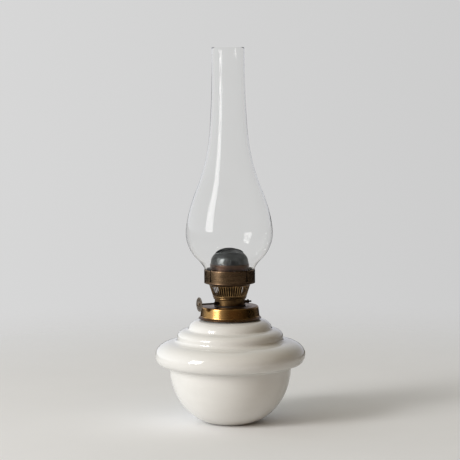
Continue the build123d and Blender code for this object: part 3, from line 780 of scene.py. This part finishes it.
# ---------------------------------------------------------------- font
def font_side(line, s, bulge, inset):
    """Draw the font's side from its foot up to its shoulder, set in by a wall."""
    bowl = bulge - s.seat_width
    reach = bowl - s.crown_radius
    foot_angle = math.acos((s.foot_radius - s.crown_radius) / reach)
    depth = s.bowl_height / math.sin(foot_angle)
    start_z = s.floor if inset else 0.0
    start = math.degrees(math.asin((s.bowl_height - start_z) / (depth - inset)))
    line.oval((s.crown_radius, s.bowl_height), (reach - inset, depth - inset), -start, start, 40)
    widest = s.bowl_height + s.bulge_rise
    under = (bulge - s.under_width, widest - s.under_depth + inset)
    back = Outline(under).bend((bowl - inset, s.bowl_height + inset), (-1.0, 0.0))
    line.line(*reversed(back.points[1:]))
    line.oval((under[0], widest), (s.under_width - inset, s.under_depth - inset), -90.0, 90.0)
    top_r = bulge - s.top_width
    line.oval((top_r, widest), (s.top_width - inset, s.top_depth - inset), 0.0, 90.0, 24)
    wide = bulge - s.overhang
    wide_z = widest + s.top_depth + s.cove
    line.bend((wide - 0.5 * MM - inset, wide_z - 0.6 * inset), (-1.0, 0.0))
    wall_top = wide_z + s.step_wall
    line.line((wide - inset, wall_top))
    line.oval((wide - s.step_round, wall_top),
              (s.step_round - inset, s.step_crown - inset), 0.0, 90.0)
    narrow = wide - s.step_tread
    narrow_z = wall_top + s.step_crown + s.top_cove
    line.oval((narrow - s.top_round, narrow_z),
              (s.top_round - inset, s.top_crown - inset), 0.0, 90.0)
    return narrow_z + s.top_crown


class LAMP_OT_font(bpy.types.Operator):
    """Make the white glass font"""
    bl_idname = "lamp.make_font"
    bl_label = "Font"

    def execute(self, context):
        s = context.scene.lamp_font
        bulge = high("font").x
        outer = Outline((0.0, s.foot_recess), (s.foot_ring, s.foot_recess),
                        (s.foot_ring + s.foot_recess, 0.0))
        shoulder = font_side(outer, s, bulge, 0.0)
        inner = Outline((0.0, s.floor))
        font_side(inner, s, bulge, s.wall)
        neck_top = shoulder + s.neck_height
        outer.line((s.neck_radius, shoulder), (s.neck_radius, neck_top), (s.neck_bore, neck_top),
                   (s.neck_bore, shoulder - s.wall))
        closed = Outline(*outer.points, *reversed(inner.points))
        # The softening pulls the bottom off the axis, so its middle is laid flat again.
        section = [point for point in closed.softened(s.crease, 3) if point.x > 3.0 * s.crease]
        section = [Vector((0.0, section[0].y)), *section, Vector((0.0, section[-1].y))]
        material = opal_glass(context.scene.lamp_colours)
        mesh = turned("font", section, 176, material)
        close_poles(mesh)
        place_piece("font_glass", mesh, "font", ["font"])
        return {"FINISHED"}


# ---------------------------------------------------------------- collar and what holds it
class LAMP_OT_collar(bpy.types.Operator):
    """Make the brass collar, and dress the ring and plaster that hold it"""
    bl_idname = "lamp.make_collar"
    bl_label = "Collar"

    def execute(self, context):
        s = context.scene.lamp_brass
        c = context.scene.lamp_colours
        bottom, top = heights("collar_shell")
        flange = high("collar_shell").x
        foot = flange - s.collar_flange
        wall = foot - s.collar_taper
        hole = high("burner_base").x - 0.5 * MM
        inside = high("plaster_ring").x
        rim_step = 0.15 * MM
        rim_inside, rim_outside = hole + 2.2 * MM, hole + 2.6 * MM
        lip_top = bottom + s.flange_lip
        section = Outline((inside, bottom), (flange - 0.3 * MM, bottom),
                          (flange, bottom + 0.35 * MM), (flange, lip_top))
        back = Outline((foot, lip_top + s.flare_height))
        back.bend((flange - 0.25 * MM, lip_top + 0.1 * MM), (0.0, -1.0))
        section.line(*reversed(back.points))
        section.line((wall, top - s.collar_shoulder))
        section.bend((wall - s.collar_shoulder, top), (0.0, 1.0))
        under = top - s.collar_sheet
        section.line((rim_outside, top), (rim_inside, top - rim_step), (hole, top - rim_step),
                     (hole, under), (inside - s.collar_shoulder, under),
                     (inside, top - s.collar_shoulder))
        # The collar darkens towards its flange. Painted reflection: its shoulder and top plate
        # darken under the burner, standing for the dark burner they mirror.
        material = spun_metal("collar_brass_spun", c.collar, c.collar_dark, (0.22, 0.42),
                              (0.50, 0.86), 70.0, relief=0.10,
                              bands=[(bottom + 3.4 * MM, bottom + 1.8 * MM, 0.9),
                                     (top - 1.2 * MM, top - 0.3 * MM, 0.8)])
        mesh = turned("collar", section.softened(0.28 * MM, 2), 160, material)
        self.dent(mesh, flange, (bottom + top) / 2.0)
        place_piece("collar_spun", mesh, "font", ["collar_shell"])
        dress(material, "collar_thread_ring")
        dress(dull_solid("plaster_set", c.plaster, 500.0, 0.0004, 0.95), "plaster_ring")
        # The washer is oiled leather, and also the painted shadow line under the neck.
        dress(dull_solid("washer_leather_oiled_and_shadow", c.leather, 900.0, 0.0002, 0.6), "burner_washer")
        return {"FINISHED"}

    @staticmethod
    def dent(mesh, radius, height):
        """Press the small knock that the collar carries on one side."""
        bearing = math.radians(-64.0)
        spread, depth, drop, band = 3.2 * MM, 0.45 * MM, 1.5 * MM, 5.0 * MM
        spot = Vector((radius * math.cos(bearing), radius * math.sin(bearing), height - drop))
        for vertex in mesh.vertices:
            away = (vertex.co - spot).length / spread
            if away < 2.0 and abs(vertex.co.z - height) < band:
                push = depth * math.exp(-away * away)
                vertex.co.xy -= vertex.co.xy.normalized() * push


# ---------------------------------------------------------------- burner body
class LAMP_OT_burner(bpy.types.Operator):
    """Make the threaded base and the beaded cup of the burner"""
    bl_idname = "lamp.make_burner"
    bl_label = "Burner body"

    def execute(self, context):
        s = context.scene.lamp_brass
        c = context.scene.lamp_colours
        material = spun_metal("burner_brass_stamped", c.burner, c.burner_dark, (0.34, 0.55),
                              (0.42, 0.72), 120.0)
        seat = high("burner_washer").z
        # Painted shadow line: the base darkens to the inner soot colour just above the washer's
        # seat, where the neck meets the collar.
        painted_seat_shade = spun_metal("burner_brass_painted_seat_shade", c.burner, c.inner_dark, (0.34, 0.55),
                            (0.42, 0.72), 120.0, bands=[(seat + 2.2 * MM, seat + 0.7 * MM, 0.95)])
        self.base(s, painted_seat_shade)
        self.cup(s, material)
        # Soot deepened by painted shade: the pieces inside the burner are coloured darker than
        # sooted brass alone, so the inside reads dark.
        inner = spun_metal("burner_brass_soot_and_shade", c.inner, c.inner_dark, (0.4, 0.65),
                           (0.34, 0.62), 160.0)
        dress(inner, "burner_floor", "diffuser_plate", "wick_tube", "vent_tube",
              "shaft_bush_left", "shaft_bush_right", "spur_wheel_left", "spur_wheel_right")
        return {"FINISHED"}

    @staticmethod
    def base(s, material):
        bottom, top = heights("burner_base")
        seat = high("burner_washer").z
        flange = high("burner_base").x
        thread = flange - 0.9 * MM
        bore = high("burner_floor").x
        above = seat + 0.5 * MM
        section = Outline((bore, bottom), (thread, bottom), (thread, seat), (flange, seat),
                          (flange, above), (thread, above), (thread, top), (bore, top))
        mesh = turned("base", section.softened(0.2 * MM, 1), 120, material, "Threaded Skirt",
                      pitch=s.thread_pitch, depth=s.thread_depth, wall_radius=bore + 0.4 * MM,
                      thread_bottom=bottom, thread_top=seat - 0.6 * MM)
        place_piece("burner_base_threaded", mesh, "burner", ["burner_base"])

    @staticmethod
    def cup(s, material):
        bottom, top = heights("burner_cup")
        band = high("burner_cup").x - s.upper_bead
        bead = top - 2.0 * s.bead_height
        middle = bead + s.bead_height
        lower, upper = band + s.lower_bead, band + s.upper_bead
        half = s.bead_height / 2.0
        section = Outline((band - s.sheet, bottom), (band, bottom), (band, bead))
        section.oval((lower - half, bead + half), (half, half), -90.0, 180.0)
        section.oval((upper - half, middle + half), (half, half), -90.0, 180.0)
        section.line((upper - s.sheet - half, top), (upper - s.sheet - half, middle + s.sheet),
                     (lower - half - s.sheet, middle), (band - s.sheet, bead))
        mesh = turned("cup", section.softened(0.18 * MM, 1), 144, material)
        place_piece("burner_cup_beaded", mesh, "burner", ["burner_cup"])


# ---------------------------------------------------------------- air basket
def slot_cell(s, foot, lip, bottom, top, count, columns=6):
    """One bar's pitch of the pierced cone: half a bar, a round-ended slot, half a bar."""
    pitch = 2.0 * math.pi / count
    middle = (foot + lip) / 2.0
    half_slot = s.slot_width / 2.0
    low_end, high_end = s.slot_margin, (top - bottom) - s.slot_margin
    slot_line, border = [], []
    rise = high_end - low_end - 2.0 * half_slot
    for side in (1.0, -1.0):
        for number in range(columns + 1):
            share = number / columns
            height = low_end + half_slot + rise * (share if side > 0 else 1.0 - share)
            slot_line.append((side * half_slot, height))
            border.append((side * 0.5, height))
        end_z = high_end - half_slot if side > 0 else low_end + half_slot
        edge_z = (top - bottom) if side > 0 else 0.0
        for number in range(1, 6):
            turn = math.pi * number / 6.0
            slot_line.append((side * half_slot * math.cos(turn),
                              end_z + side * half_slot * math.sin(turn)))
            border.append((side * 0.5 * (1.0 - (number - 1) / 2.0), edge_z))
    ring = len(slot_line)
    tuck = 0.16 * MM
    vertices = []

    def put(run, z, deep, tucked):
        """A point at a run round the cone, a height up it and a depth under its skin."""
        share = z / (top - bottom)
        radius = foot + (lip - foot) * share - deep - tucked
        turn = run / middle
        vertices.append((radius * math.cos(turn), radius * math.sin(turn), bottom + z))

    half_pitch = pitch * middle / 2.0
    for deep in (0.0, s.sheet):
        for x, z in slot_line:
            put(x, z, deep, tuck)
        for (bx, bz), (x, z) in zip(border, slot_line):
            put((x + bx * 2.0 * half_pitch) / 2.0, (z + bz) / 2.0, deep, 0.0)
        for bx, bz in border:
            put(bx * 2.0 * half_pitch, bz, deep, 0.0)
    faces = ring_faces(0, ring, ring) + ring_faces(ring, 2 * ring, ring)
    inner = 3 * ring
    faces += [face[::-1] for face in ring_faces(inner, inner + ring, ring)
              + ring_faces(inner + ring, inner + 2 * ring, ring)]
    faces += ring_faces(inner, 0, ring)
    for i in range(ring):
        j = (i + 1) % ring
        if border[i][1] == border[j][1] and border[i][1] in (0.0, top - bottom):
            faces.append((2 * ring + i, 2 * ring + j, inner + 2 * ring + j, inner + 2 * ring + i))
    return vertices, [face[::-1] for face in faces]


class LAMP_OT_basket(bpy.types.Operator):
    """Make the pierced air basket under the gallery"""
    bl_idname = "lamp.make_basket"
    bl_label = "Air basket"

    def execute(self, context):
        s = context.scene.lamp_brass
        c = context.scene.lamp_colours
        bottom, top = heights("air_basket")
        lip_z = top - s.basket_lip
        rim = high("air_basket").x
        lip = rim - 1.9 * MM
        foot = high("burner_cup").x
        # Painted shade: the basket darkens into its flare under the gallery, and its inside is
        # darker still.
        material = spun_metal("basket_brass_pierced", c.burner, c.burner_dark, (0.22, 0.48),
                              (0.46, 0.76), 150.0, bands=[(lip_z - 0.9 * MM, lip_z, 0.95)],
                              soot_and_shade_hollow=((foot - 0.3 * MM, bottom), (lip - 0.3 * MM, lip_z)))
        vertices, faces = slot_cell(s, foot, lip, bottom, lip_z, s.slot_count)
        mesh = row_of("basket", vertices, faces, s.slot_count, material)
        section = Outline((lip - s.sheet, lip_z), (lip, lip_z))
        back = Outline((rim, top - 0.4 * MM)).bend((lip, lip_z), (-1.0, 0.0))
        section.line(*reversed(back.points[:-1]))
        section.line((rim, top), (lip - s.sheet, top))
        flare = turned("flare", section.softened(0.2 * MM, 1), 150, material)
        both = bmesh.new()
        both.from_mesh(mesh)
        both.from_mesh(flare)
        both.to_mesh(mesh)
        both.free()
        place_piece("air_basket_pierced", mesh, "burner", ["air_basket"])
        return {"FINISHED"}


# ---------------------------------------------------------------- gallery
class LAMP_OT_gallery(bpy.types.Operator):
    """Make the slit gallery that grips the chimney"""
    bl_idname = "lamp.make_gallery"
    bl_label = "Gallery"

    def execute(self, context):
        s = context.scene.lamp_brass
        c = context.scene.lamp_colours
        bottom, top = heights("gallery")
        bead = high("gallery").x
        band = bead - 0.3 * MM
        hub = high("diffuser_plate").x
        bore = band - s.sheet
        section = Outline((hub, bottom), (band - 0.5 * MM, bottom), (band, bottom + 0.25 * MM))
        section.bend((band, bottom + 1.3 * MM), (0.5, 1.0))
        section.line((band, top - 0.3 * MM), (band - 0.15 * MM, top), (bore + 0.1 * MM, top),
                     (bore, top - 0.2 * MM), (bore, bottom + s.sheet), (hub, bottom + s.sheet))
        lining = bore + 0.2 * MM
        # Painted shade: the gallery darkens towards its foot, where it sits in the basket, and
        # over its whole inside.
        material = spun_metal("gallery_brass_rolled", c.gallery, c.gallery_dark, (0.26, 0.46),
                              (0.44, 0.80), 85.0,
                              bands=[(bottom + 2.6 * MM, bottom + 0.6 * MM, 0.85)],
                              soot_and_shade_hollow=((lining, bottom), (lining, top)))
        mesh = turned("gallery", section.softened(0.25 * MM, 1), 160, material, "Slit Band",
                      count=s.slit_count, first_angle=s.slit_angle, slit_width=s.slit_width,
                      relief_radius=s.relief_radius, relief_height=bottom + s.relief_height,
                      band_radius=band, reach=6.0 * MM)
        place_piece("gallery_slit", mesh, "burner", ["gallery"])
        return {"FINISHED"}


# ---------------------------------------------------------------- dome
def dome_height_at(share):
    """Height of the dome's section, as a share, at a share of its radius."""
    power = 2.15
    return max(0.0, 1.0 - min(share, 1.0) ** power) ** (1.0 / power)


def dome_mesh(s, edge, bottom, top, material, count=160, loops=26):
    """The dome as loops that pass from its round edge to its oblong slot and up its lip."""
    half_width = s.slot_width / 2.0
    half_run = s.slot_length / 2.0 - half_width
    height = top - s.lip_height - bottom

    def slot_point(angle, grow=0.0):
        """Where the slot's outline, grown outwards, meets a ray through the dome's centre."""
        wide = half_width + grow
        c, n = abs(math.cos(angle)), abs(math.sin(angle))
        flat = wide / n if n > 1e-9 else 1e9
        if flat * c <= half_run:
            distance = flat
        else:
            distance = half_run * c + math.sqrt(max(0.0, wide * wide - (half_run * n) ** 2))
        return distance * math.cos(angle), distance * math.sin(angle)

    def skin(x, y, inset):
        share = math.hypot(x, y) / edge
        return bottom + (height - inset) * dome_height_at(share * edge / (edge - inset))

    # Rays crowd towards the ends of the slot, where its outline is rounder.
    crowding = 0.42
    angles = []
    for number in range(count):
        turn = 2.0 * math.pi * number / count
        angles.append(math.atan2(crowding * math.sin(turn), math.cos(turn)))
    vertices, rings = [], []

    def put_ring(spot):
        rings.append(len(vertices))
        vertices.extend(spot(angle) for angle in angles)

    for inset in (0.0, s.dome_sheet):
        order = range(loops + 1) if not inset else range(loops, -1, -1)
        for loop in order:
            share = (loop / loops) ** 0.75

            def spot(angle, share=share, inset=inset):
                near = slot_point(angle, s.lip_wall if not inset else 0.0)
                far = ((edge - inset) * math.cos(angle), (edge - inset) * math.sin(angle))
                x = far[0] + (near[0] - far[0]) * share
                y = far[1] + (near[1] - far[1]) * share
                return x, y, skin(x, y, inset)

            put_ring(spot)
        if not inset:
            for grow, rise in ((0.75, 0.55), (0.5, 1.0), (0.15, 1.0), (0.0, 0.6)):

                def lip(angle, grow=grow, rise=rise):
                    x, y = slot_point(angle, s.lip_wall * grow)
                    return x, y, skin(x, y, 0.0) + s.lip_height * rise

                put_ring(lip)
    faces = []
    for first, second in zip(rings, rings[1:] + rings[:1]):
        faces += ring_faces(first, second, count)
    return mesh_from(vertices, faces, material)


class LAMP_OT_dome(bpy.types.Operator):
    """Make the slotted dome and the ring that carries it"""
    bl_idname = "lamp.make_dome"
    bl_label = "Dome"

    def execute(self, context):
        s = context.scene.lamp_glass
        c = context.scene.lamp_colours
        bottom, top = heights("dome")
        edge = high("dome").x
        soot = spun_metal("dome_metal_burnt", c.dome, c.dome_dark, (0.34, 0.62), (0.40, 0.72),
                          110.0, relief=0.2)
        mesh = dome_mesh(s, edge, bottom, top, soot)
        place_piece("dome_slotted", mesh, "dome", ["dome"])
        ring_low, ring_high = heights("dome_ring")
        wall = high("dome_ring").x
        sheet, shoulder, mouth = 0.5 * MM, 0.4 * MM, edge - 1.0 * MM
        inner = wall - sheet
        section = Outline((inner, ring_low), (wall, ring_low), (wall, ring_low + 1.2 * MM))
        section.line((wall - 0.18 * MM, ring_low + 1.8 * MM), (wall, ring_low + 2.4 * MM))
        section.line((wall, ring_high - shoulder), (wall - shoulder, ring_high),
                     (mouth, ring_high), (mouth, ring_high - sheet), (inner, ring_high - sheet))
        burnt = spun_metal("dome_ring_reddened", c.ring, c.ring_dark, (0.40, 0.55),
                           (0.44, 0.78), 75.0,
                           bands=[(ring_high - 3.5 * MM, ring_high - 5.5 * MM, 0.7)])
        mesh = turned("ring", section.softened(0.22 * MM, 1), 144, burnt)
        place_piece("dome_ring_rolled", mesh, "dome", ["dome_ring"])
        return {"FINISHED"}


# ---------------------------------------------------------------- winder
def knob_cell(radius, hub, thickness, depth, count, columns=6, rows=7):
    """One notch's pitch of a dished, coined disc, standing on the axis."""
    pitch = 2.0 * math.pi / count
    notch_start, rim_start = 0.72, 0.80
    front, back = [], []
    for row in range(rows + 1):
        share = row / rows
        for column in range(columns + 1):
            across = column / columns - 0.5
            notch = depth * (0.5 + 0.5 * math.cos(2.0 * math.pi * (across + 0.5)))
            reach = radius - notch * max(0.0, (share - notch_start) / (1.0 - notch_start))
            r = hub + (reach - hub) * share
            rim = max(0.0, (share - rim_start) / (1.0 - rim_start))
            dish = 0.22 * thickness * math.sin(math.pi * min(1.0, share / rim_start))
            half = thickness / 2.0 * (1.0 - 0.45 * rim ** 2)
            turn = pitch * across
            spot = (r * math.cos(turn), r * math.sin(turn))
            front.append((*spot, half - dish))
            back.append((*spot, -half + dish * 0.6))
    wide = columns + 1
    vertices = front + back
    faces = []
    for row in range(rows):
        for column in range(columns):
            a = row * wide + column
            quad = (a, a + wide, a + wide + 1, a + 1)
            faces.append(quad)
            faces.append(tuple(len(front) + v for v in reversed(quad)))
    for column in range(columns):
        a = rows * wide + column
        faces.append((a, len(front) + a, len(front) + a + 1, a + 1))
        faces.append((column, column + 1, len(front) + column + 1, len(front) + column))
    return vertices, faces


class LAMP_OT_winder(bpy.types.Operator):
    """Make the notched knob, and dress the shaft, boss and clip"""
    bl_idname = "lamp.make_winder"
    bl_label = "Winder"

    def execute(self, context):
        s = context.scene.lamp_brass
        c = context.scene.lamp_colours
        knob_low, knob_high = low("winder_knob"), high("winder_knob")
        centre = (knob_low + knob_high) / 2.0
        radius = (knob_high.y - knob_low.y) / 2.0
        hub = (high("knob_boss").y - low("knob_boss").y) / 2.0
        material = spun_metal("knob_brass_stamped", c.knob, c.knob_dark, (0.34, 0.58),
                              (0.40, 0.72), 200.0, axis="X", centre=centre)
        vertices, faces = knob_cell(radius, hub, knob_high.x - knob_low.x, s.notch_depth,
                                    s.notch_count)
        mesh = row_of("knob", vertices, faces, s.notch_count, material)
        mesh.transform(Matrix.Translation(centre) @ Matrix.Rotation(math.radians(-90.0), 4, "Y"))
        place_piece("winder_knob_notched", mesh, "winder", ["winder_knob"])
        dress(material, "knob_boss")
        steel = spun_metal("shaft_steel_drawn", c.steel, c.steel_dark, (0.3, 0.6), (0.35, 0.65),
                           260.0, axis="X", centre=centre)
        dress(steel, "winder_shaft", "shaft_clip")
        return {"FINISHED"}


# ---------------------------------------------------------------- wick
class LAMP_OT_wick(bpy.types.Operator):
    """Make the woven cotton wick"""
    bl_idname = "lamp.make_wick"
    bl_label = "Wick"

    def execute(self, context):
        c = context.scene.lamp_colours
        corner, far = low("wick"), high("wick")
        width, thick = far.x - corner.x, far.y - corner.y
        rows, count = 300, 96
        cord_pitch = width / WICK_CORDS
        beat_pitch, rib_depth, beat_depth = 1.6 * MM, 0.16 * MM, 0.05 * MM
        loops = []
        section = []
        for number in range(count):
            turn = 2.0 * math.pi * number / count
            reach = abs(math.cos(turn)) ** 0.25 * math.copysign(1.0, math.cos(turn))
            rise = abs(math.sin(turn)) ** 0.6 * math.copysign(1.0, math.sin(turn))
            section.append((reach * (width / 2.0 - 0.1 * MM), rise))
        for row in range(rows + 1):
            z = corner.z + (far.z - corner.z) * row / rows
            for x, rise in section:
                cord = math.floor(x / cord_pitch)
                rib = 0.5 + 0.5 * math.cos(2.0 * math.pi * (x / cord_pitch - cord - 0.5))
                beat = math.cos(2.0 * math.pi * z / beat_pitch + math.pi * (cord % 2))
                half = thick / 2.0 - rib_depth * (1.0 - rib) - beat_depth * (1.0 - beat)
                loops.append((x, rise * half, z))
        faces = []
        for row in range(rows):
            faces += ring_faces(row * count, (row + 1) * count, count)
        faces.append(tuple(range(count)))
        faces.append(tuple(rows * count + i for i in range(count)))
        material = woven_cotton(c, far.z - 7.0 * MM, far.z - 1.0 * MM, width)
        mesh = mesh_from(loops, faces, material, math.radians(60.0))
        wick = place_piece("wick_woven", mesh, "wick", ["wick"])
        return {"FINISHED"}


# ---------------------------------------------------------------- chimney
class LAMP_OT_chimney(bpy.types.Operator):
    """Make the blown glass chimney"""
    bl_idname = "lamp.make_chimney"
    bl_label = "Chimney"
    # Share of the swelling left at shares of the height, below and above the widest line.
    UNDER = ((0.109, 0.074), (0.225, 0.226), (0.426, 0.595), (0.712, 0.880))
    OVER = ((0.081, 0.945), (0.188, 0.746), (0.295, 0.467), (0.402, 0.254),
            (0.509, 0.125), (0.616, 0.062), (0.775, 0.012))

    def execute(self, context):
        s = context.scene.lamp_glass
        bottom, top = heights("chimney")
        bulb = high("chimney").x
        flare = bottom + s.foot_height
        widest = bottom + s.bulb_height
        knots = [(flare, s.foot_radius)]
        knots += [(flare + (widest - flare) * h, s.foot_radius + (bulb - s.foot_radius) * share)
                  for h, share in self.UNDER]
        knots += [(widest, bulb)]
        knots += [(widest + (top - widest) * h, s.top_radius + (bulb - s.top_radius) * share)
                  for h, share in self.OVER]
        knots += [(top, s.top_radius)]
        side = smooth_through(knots, 0.0, 0.0, 1.0 * MM)
        for _ in range(10):
            side[1:-1] = [((a[0] + 2.0 * b[0] + d[0]) / 4.0, (a[1] + 2.0 * b[1] + d[1]) / 4.0)
                          for a, b, d in zip(side, side[1:], side[2:])]
        section = Outline((s.foot_radius, bottom)).line(*side)
        section.line(*[(r - s.wall, z) for r, z in reversed(side)])
        section.line((s.foot_radius - s.wall, bottom))
        mesh = turned("chimney", section.softened(1.1 * MM, 1), 176, chimney_glass())
        place_piece("chimney_blown", mesh, "chimney", ["chimney"])
        return {"FINISHED"}


# ---------------------------------------------------------------- stage
class LAMP_OT_stage(bpy.types.Operator):
    """Set up the camera, the window light, the soft room and the floor"""
    bl_idname = "lamp.make_stage"
    bl_label = "Stage"

    def execute(self, context):
        s = context.scene.lamp_stage
        context.scene.view_settings.view_transform = "Standard"
        self.camera(context, s)
        self.window(context, s)
        self.room(context, s)
        self.floor(context, s)
        return {"FINISHED"}

    @staticmethod
    def camera(context, s):
        away = Vector((math.sin(s.azimuth), -math.cos(s.azimuth), 0.0))
        right = Vector((math.cos(s.azimuth), math.sin(s.azimuth), 0.0))
        data = bpy.data.cameras.new("camera")
        data.lens = s.lens
        data.sensor_width = 36.0
        camera = linked("camera", data)
        camera.location = away * s.distance + right * s.side_step + Vector((0.0, 0.0, s.height))
        look = -away * math.cos(s.dip) + Vector((0.0, 0.0, -math.sin(s.dip)))
        turn = look.to_track_quat("-Z", "Y").to_matrix() @ Matrix.Rotation(-s.roll, 3, "Z")
        camera.rotation_euler = turn.to_euler()
        context.scene.camera = camera

    @staticmethod
    def window(context, s):
        data = bpy.data.lights.new("window", "AREA")
        data.shape = "RECTANGLE"
        data.size = s.key_width
        data.size_y = s.key_length
        data.energy = s.key_power
        data.color = (1.0, 0.995, 0.985)
        lamp = linked("window", data)
        bearing = s.azimuth - s.key_bearing
        out = Vector((math.sin(bearing), -math.cos(bearing), 0.0))
        lamp.location = out * s.key_distance + Vector((0.0, 0.0, s.key_height))
        lamp.rotation_euler = (-out).to_track_quat("-Z", "Y").to_euler()
        lamp.visible_camera = False

    @staticmethod
    def room(context, s):
        """Soft light from above and behind, and the plain ground that the camera sees."""
        world = bpy.data.worlds.new("room")
        context.scene.world = world
        world.use_nodes = True
        world.node_tree.nodes.clear()
        web = Web(world.node_tree)
        x, y, z = web.split(web.add("ShaderNodeTexCoord", output="Generated"))
        ahead = (-math.sin(s.azimuth), math.cos(s.azimuth))
        left = (-math.cos(s.azimuth), -math.sin(s.azimuth))
        behind = x * ahead[0] + y * ahead[1]
        leftward = x * left[0] + y * left[1]
        wall = 1.0 - web.ramp(z, 0.0, -0.03)
        dim = 1.0 - web.rays("Is Glossy Ray") * 0.75
        sides = ((leftward, s.left_glow, 1.0), (behind, s.back_glow, 1.0),
                 (behind * -1.0, s.front_glow, dim))
        channels = []
        for channel in range(3):
            glow = z.larger(0.0) ** 2.0 * s.ceiling_glow[channel]
            for direction, colour, share in sides:
                glow = glow + wall * direction.larger(0.0) ** 2.0 * colour[channel] * share
            channels.append(glow)
        soft = web.add("ShaderNodeBackground", inputs={
            "Color": web.join(*channels), "Strength": 1.0})
        slope = 1.0 + leftward.larger(-0.16).smaller(0.16) * 0.42
        shown = web.join(slope * s.backdrop[0], slope * s.backdrop[1], slope * s.backdrop[2])
        plain = web.add("ShaderNodeBackground", inputs={"Color": shown, "Strength": 1.0})
        seen = web.rays("Is Camera Ray").larger(web.rays("Is Transmission Ray"))
        both = web.add("ShaderNodeMixShader", inputs={0: seen, 1: soft, 2: plain})
        web.add("ShaderNodeOutputWorld", inputs={"Surface": both})

    @staticmethod
    def floor(context, s):
        """A pale round floor that fades into the ground behind it."""
        material, web = new_material("floor_pale")
        place = object_place(web)
        x, y, z = web.split(place)
        distance = (x * x + y * y) ** 0.5
        mottle = web.noise(place, 9.0, 4.0, 0.6)
        lighter = tuple(min(1.0, channel * 1.015) for channel in s.floor_shade)
        cloth = web.add("ShaderNodeBsdfPrincipled", inputs={
            "Base Color": web.mix(web.ramp(mottle, 0.3, 0.7), s.floor_shade, lighter),
            "Roughness": 0.9, "Specular IOR Level": 0.15})
        clear = web.add("ShaderNodeBsdfTransparent")
        fade = web.ramp(distance, s.fade_start, s.fade_end)
        finish_material(web, web.add("ShaderNodeMixShader", inputs={0: fade, 1: cloth, 2: clear}))
        shape = bmesh.new()
        bmesh.ops.create_circle(shape, cap_ends=True, segments=96, radius=s.floor_radius)
        mesh = bpy.data.meshes.new("floor")
        shape.to_mesh(mesh)
        shape.free()
        mesh.materials.append(material)
        linked("floor", mesh)


OPERATORS = (LAMP_OT_stage, LAMP_OT_font, LAMP_OT_collar, LAMP_OT_burner, LAMP_OT_basket,
             LAMP_OT_gallery, LAMP_OT_dome, LAMP_OT_winder, LAMP_OT_wick, LAMP_OT_chimney)


class LAMP_PT_panel(bpy.types.Panel):
    """The lamp's pieces and stage, one button each"""
    bl_idname = "LAMP_PT_panel"
    bl_label = "Oil Lamp"
    bl_space_type = "VIEW_3D"
    bl_region_type = "UI"
    bl_category = "Oil Lamp"

    def draw(self, context):
        column = self.layout.column(align=True)
        for operator in OPERATORS:
            column.operator(operator.bl_idname)


CLASSES = (*SETTINGS.values(), *OPERATORS, LAMP_PT_panel)


def register():
    for kind in CLASSES:
        bpy.utils.register_class(kind)
    for name, kind in SETTINGS.items():
        setattr(bpy.types.Scene, name, PointerProperty(type=kind))


def unregister():
    for name in SETTINGS:
        delattr(bpy.types.Scene, name)
    for kind in reversed(CLASSES):
        bpy.utils.unregister_class(kind)


def main():
    """Build every piece in order."""
    register()
    for make_tree in (turned_tree, threaded_tree, slit_tree, round_row_tree):
        make_tree()
    for operator in OPERATORS:
        getattr(bpy.ops.lamp, operator.bl_idname.split(".")[1])()


if __name__ == "__main__":
    main()
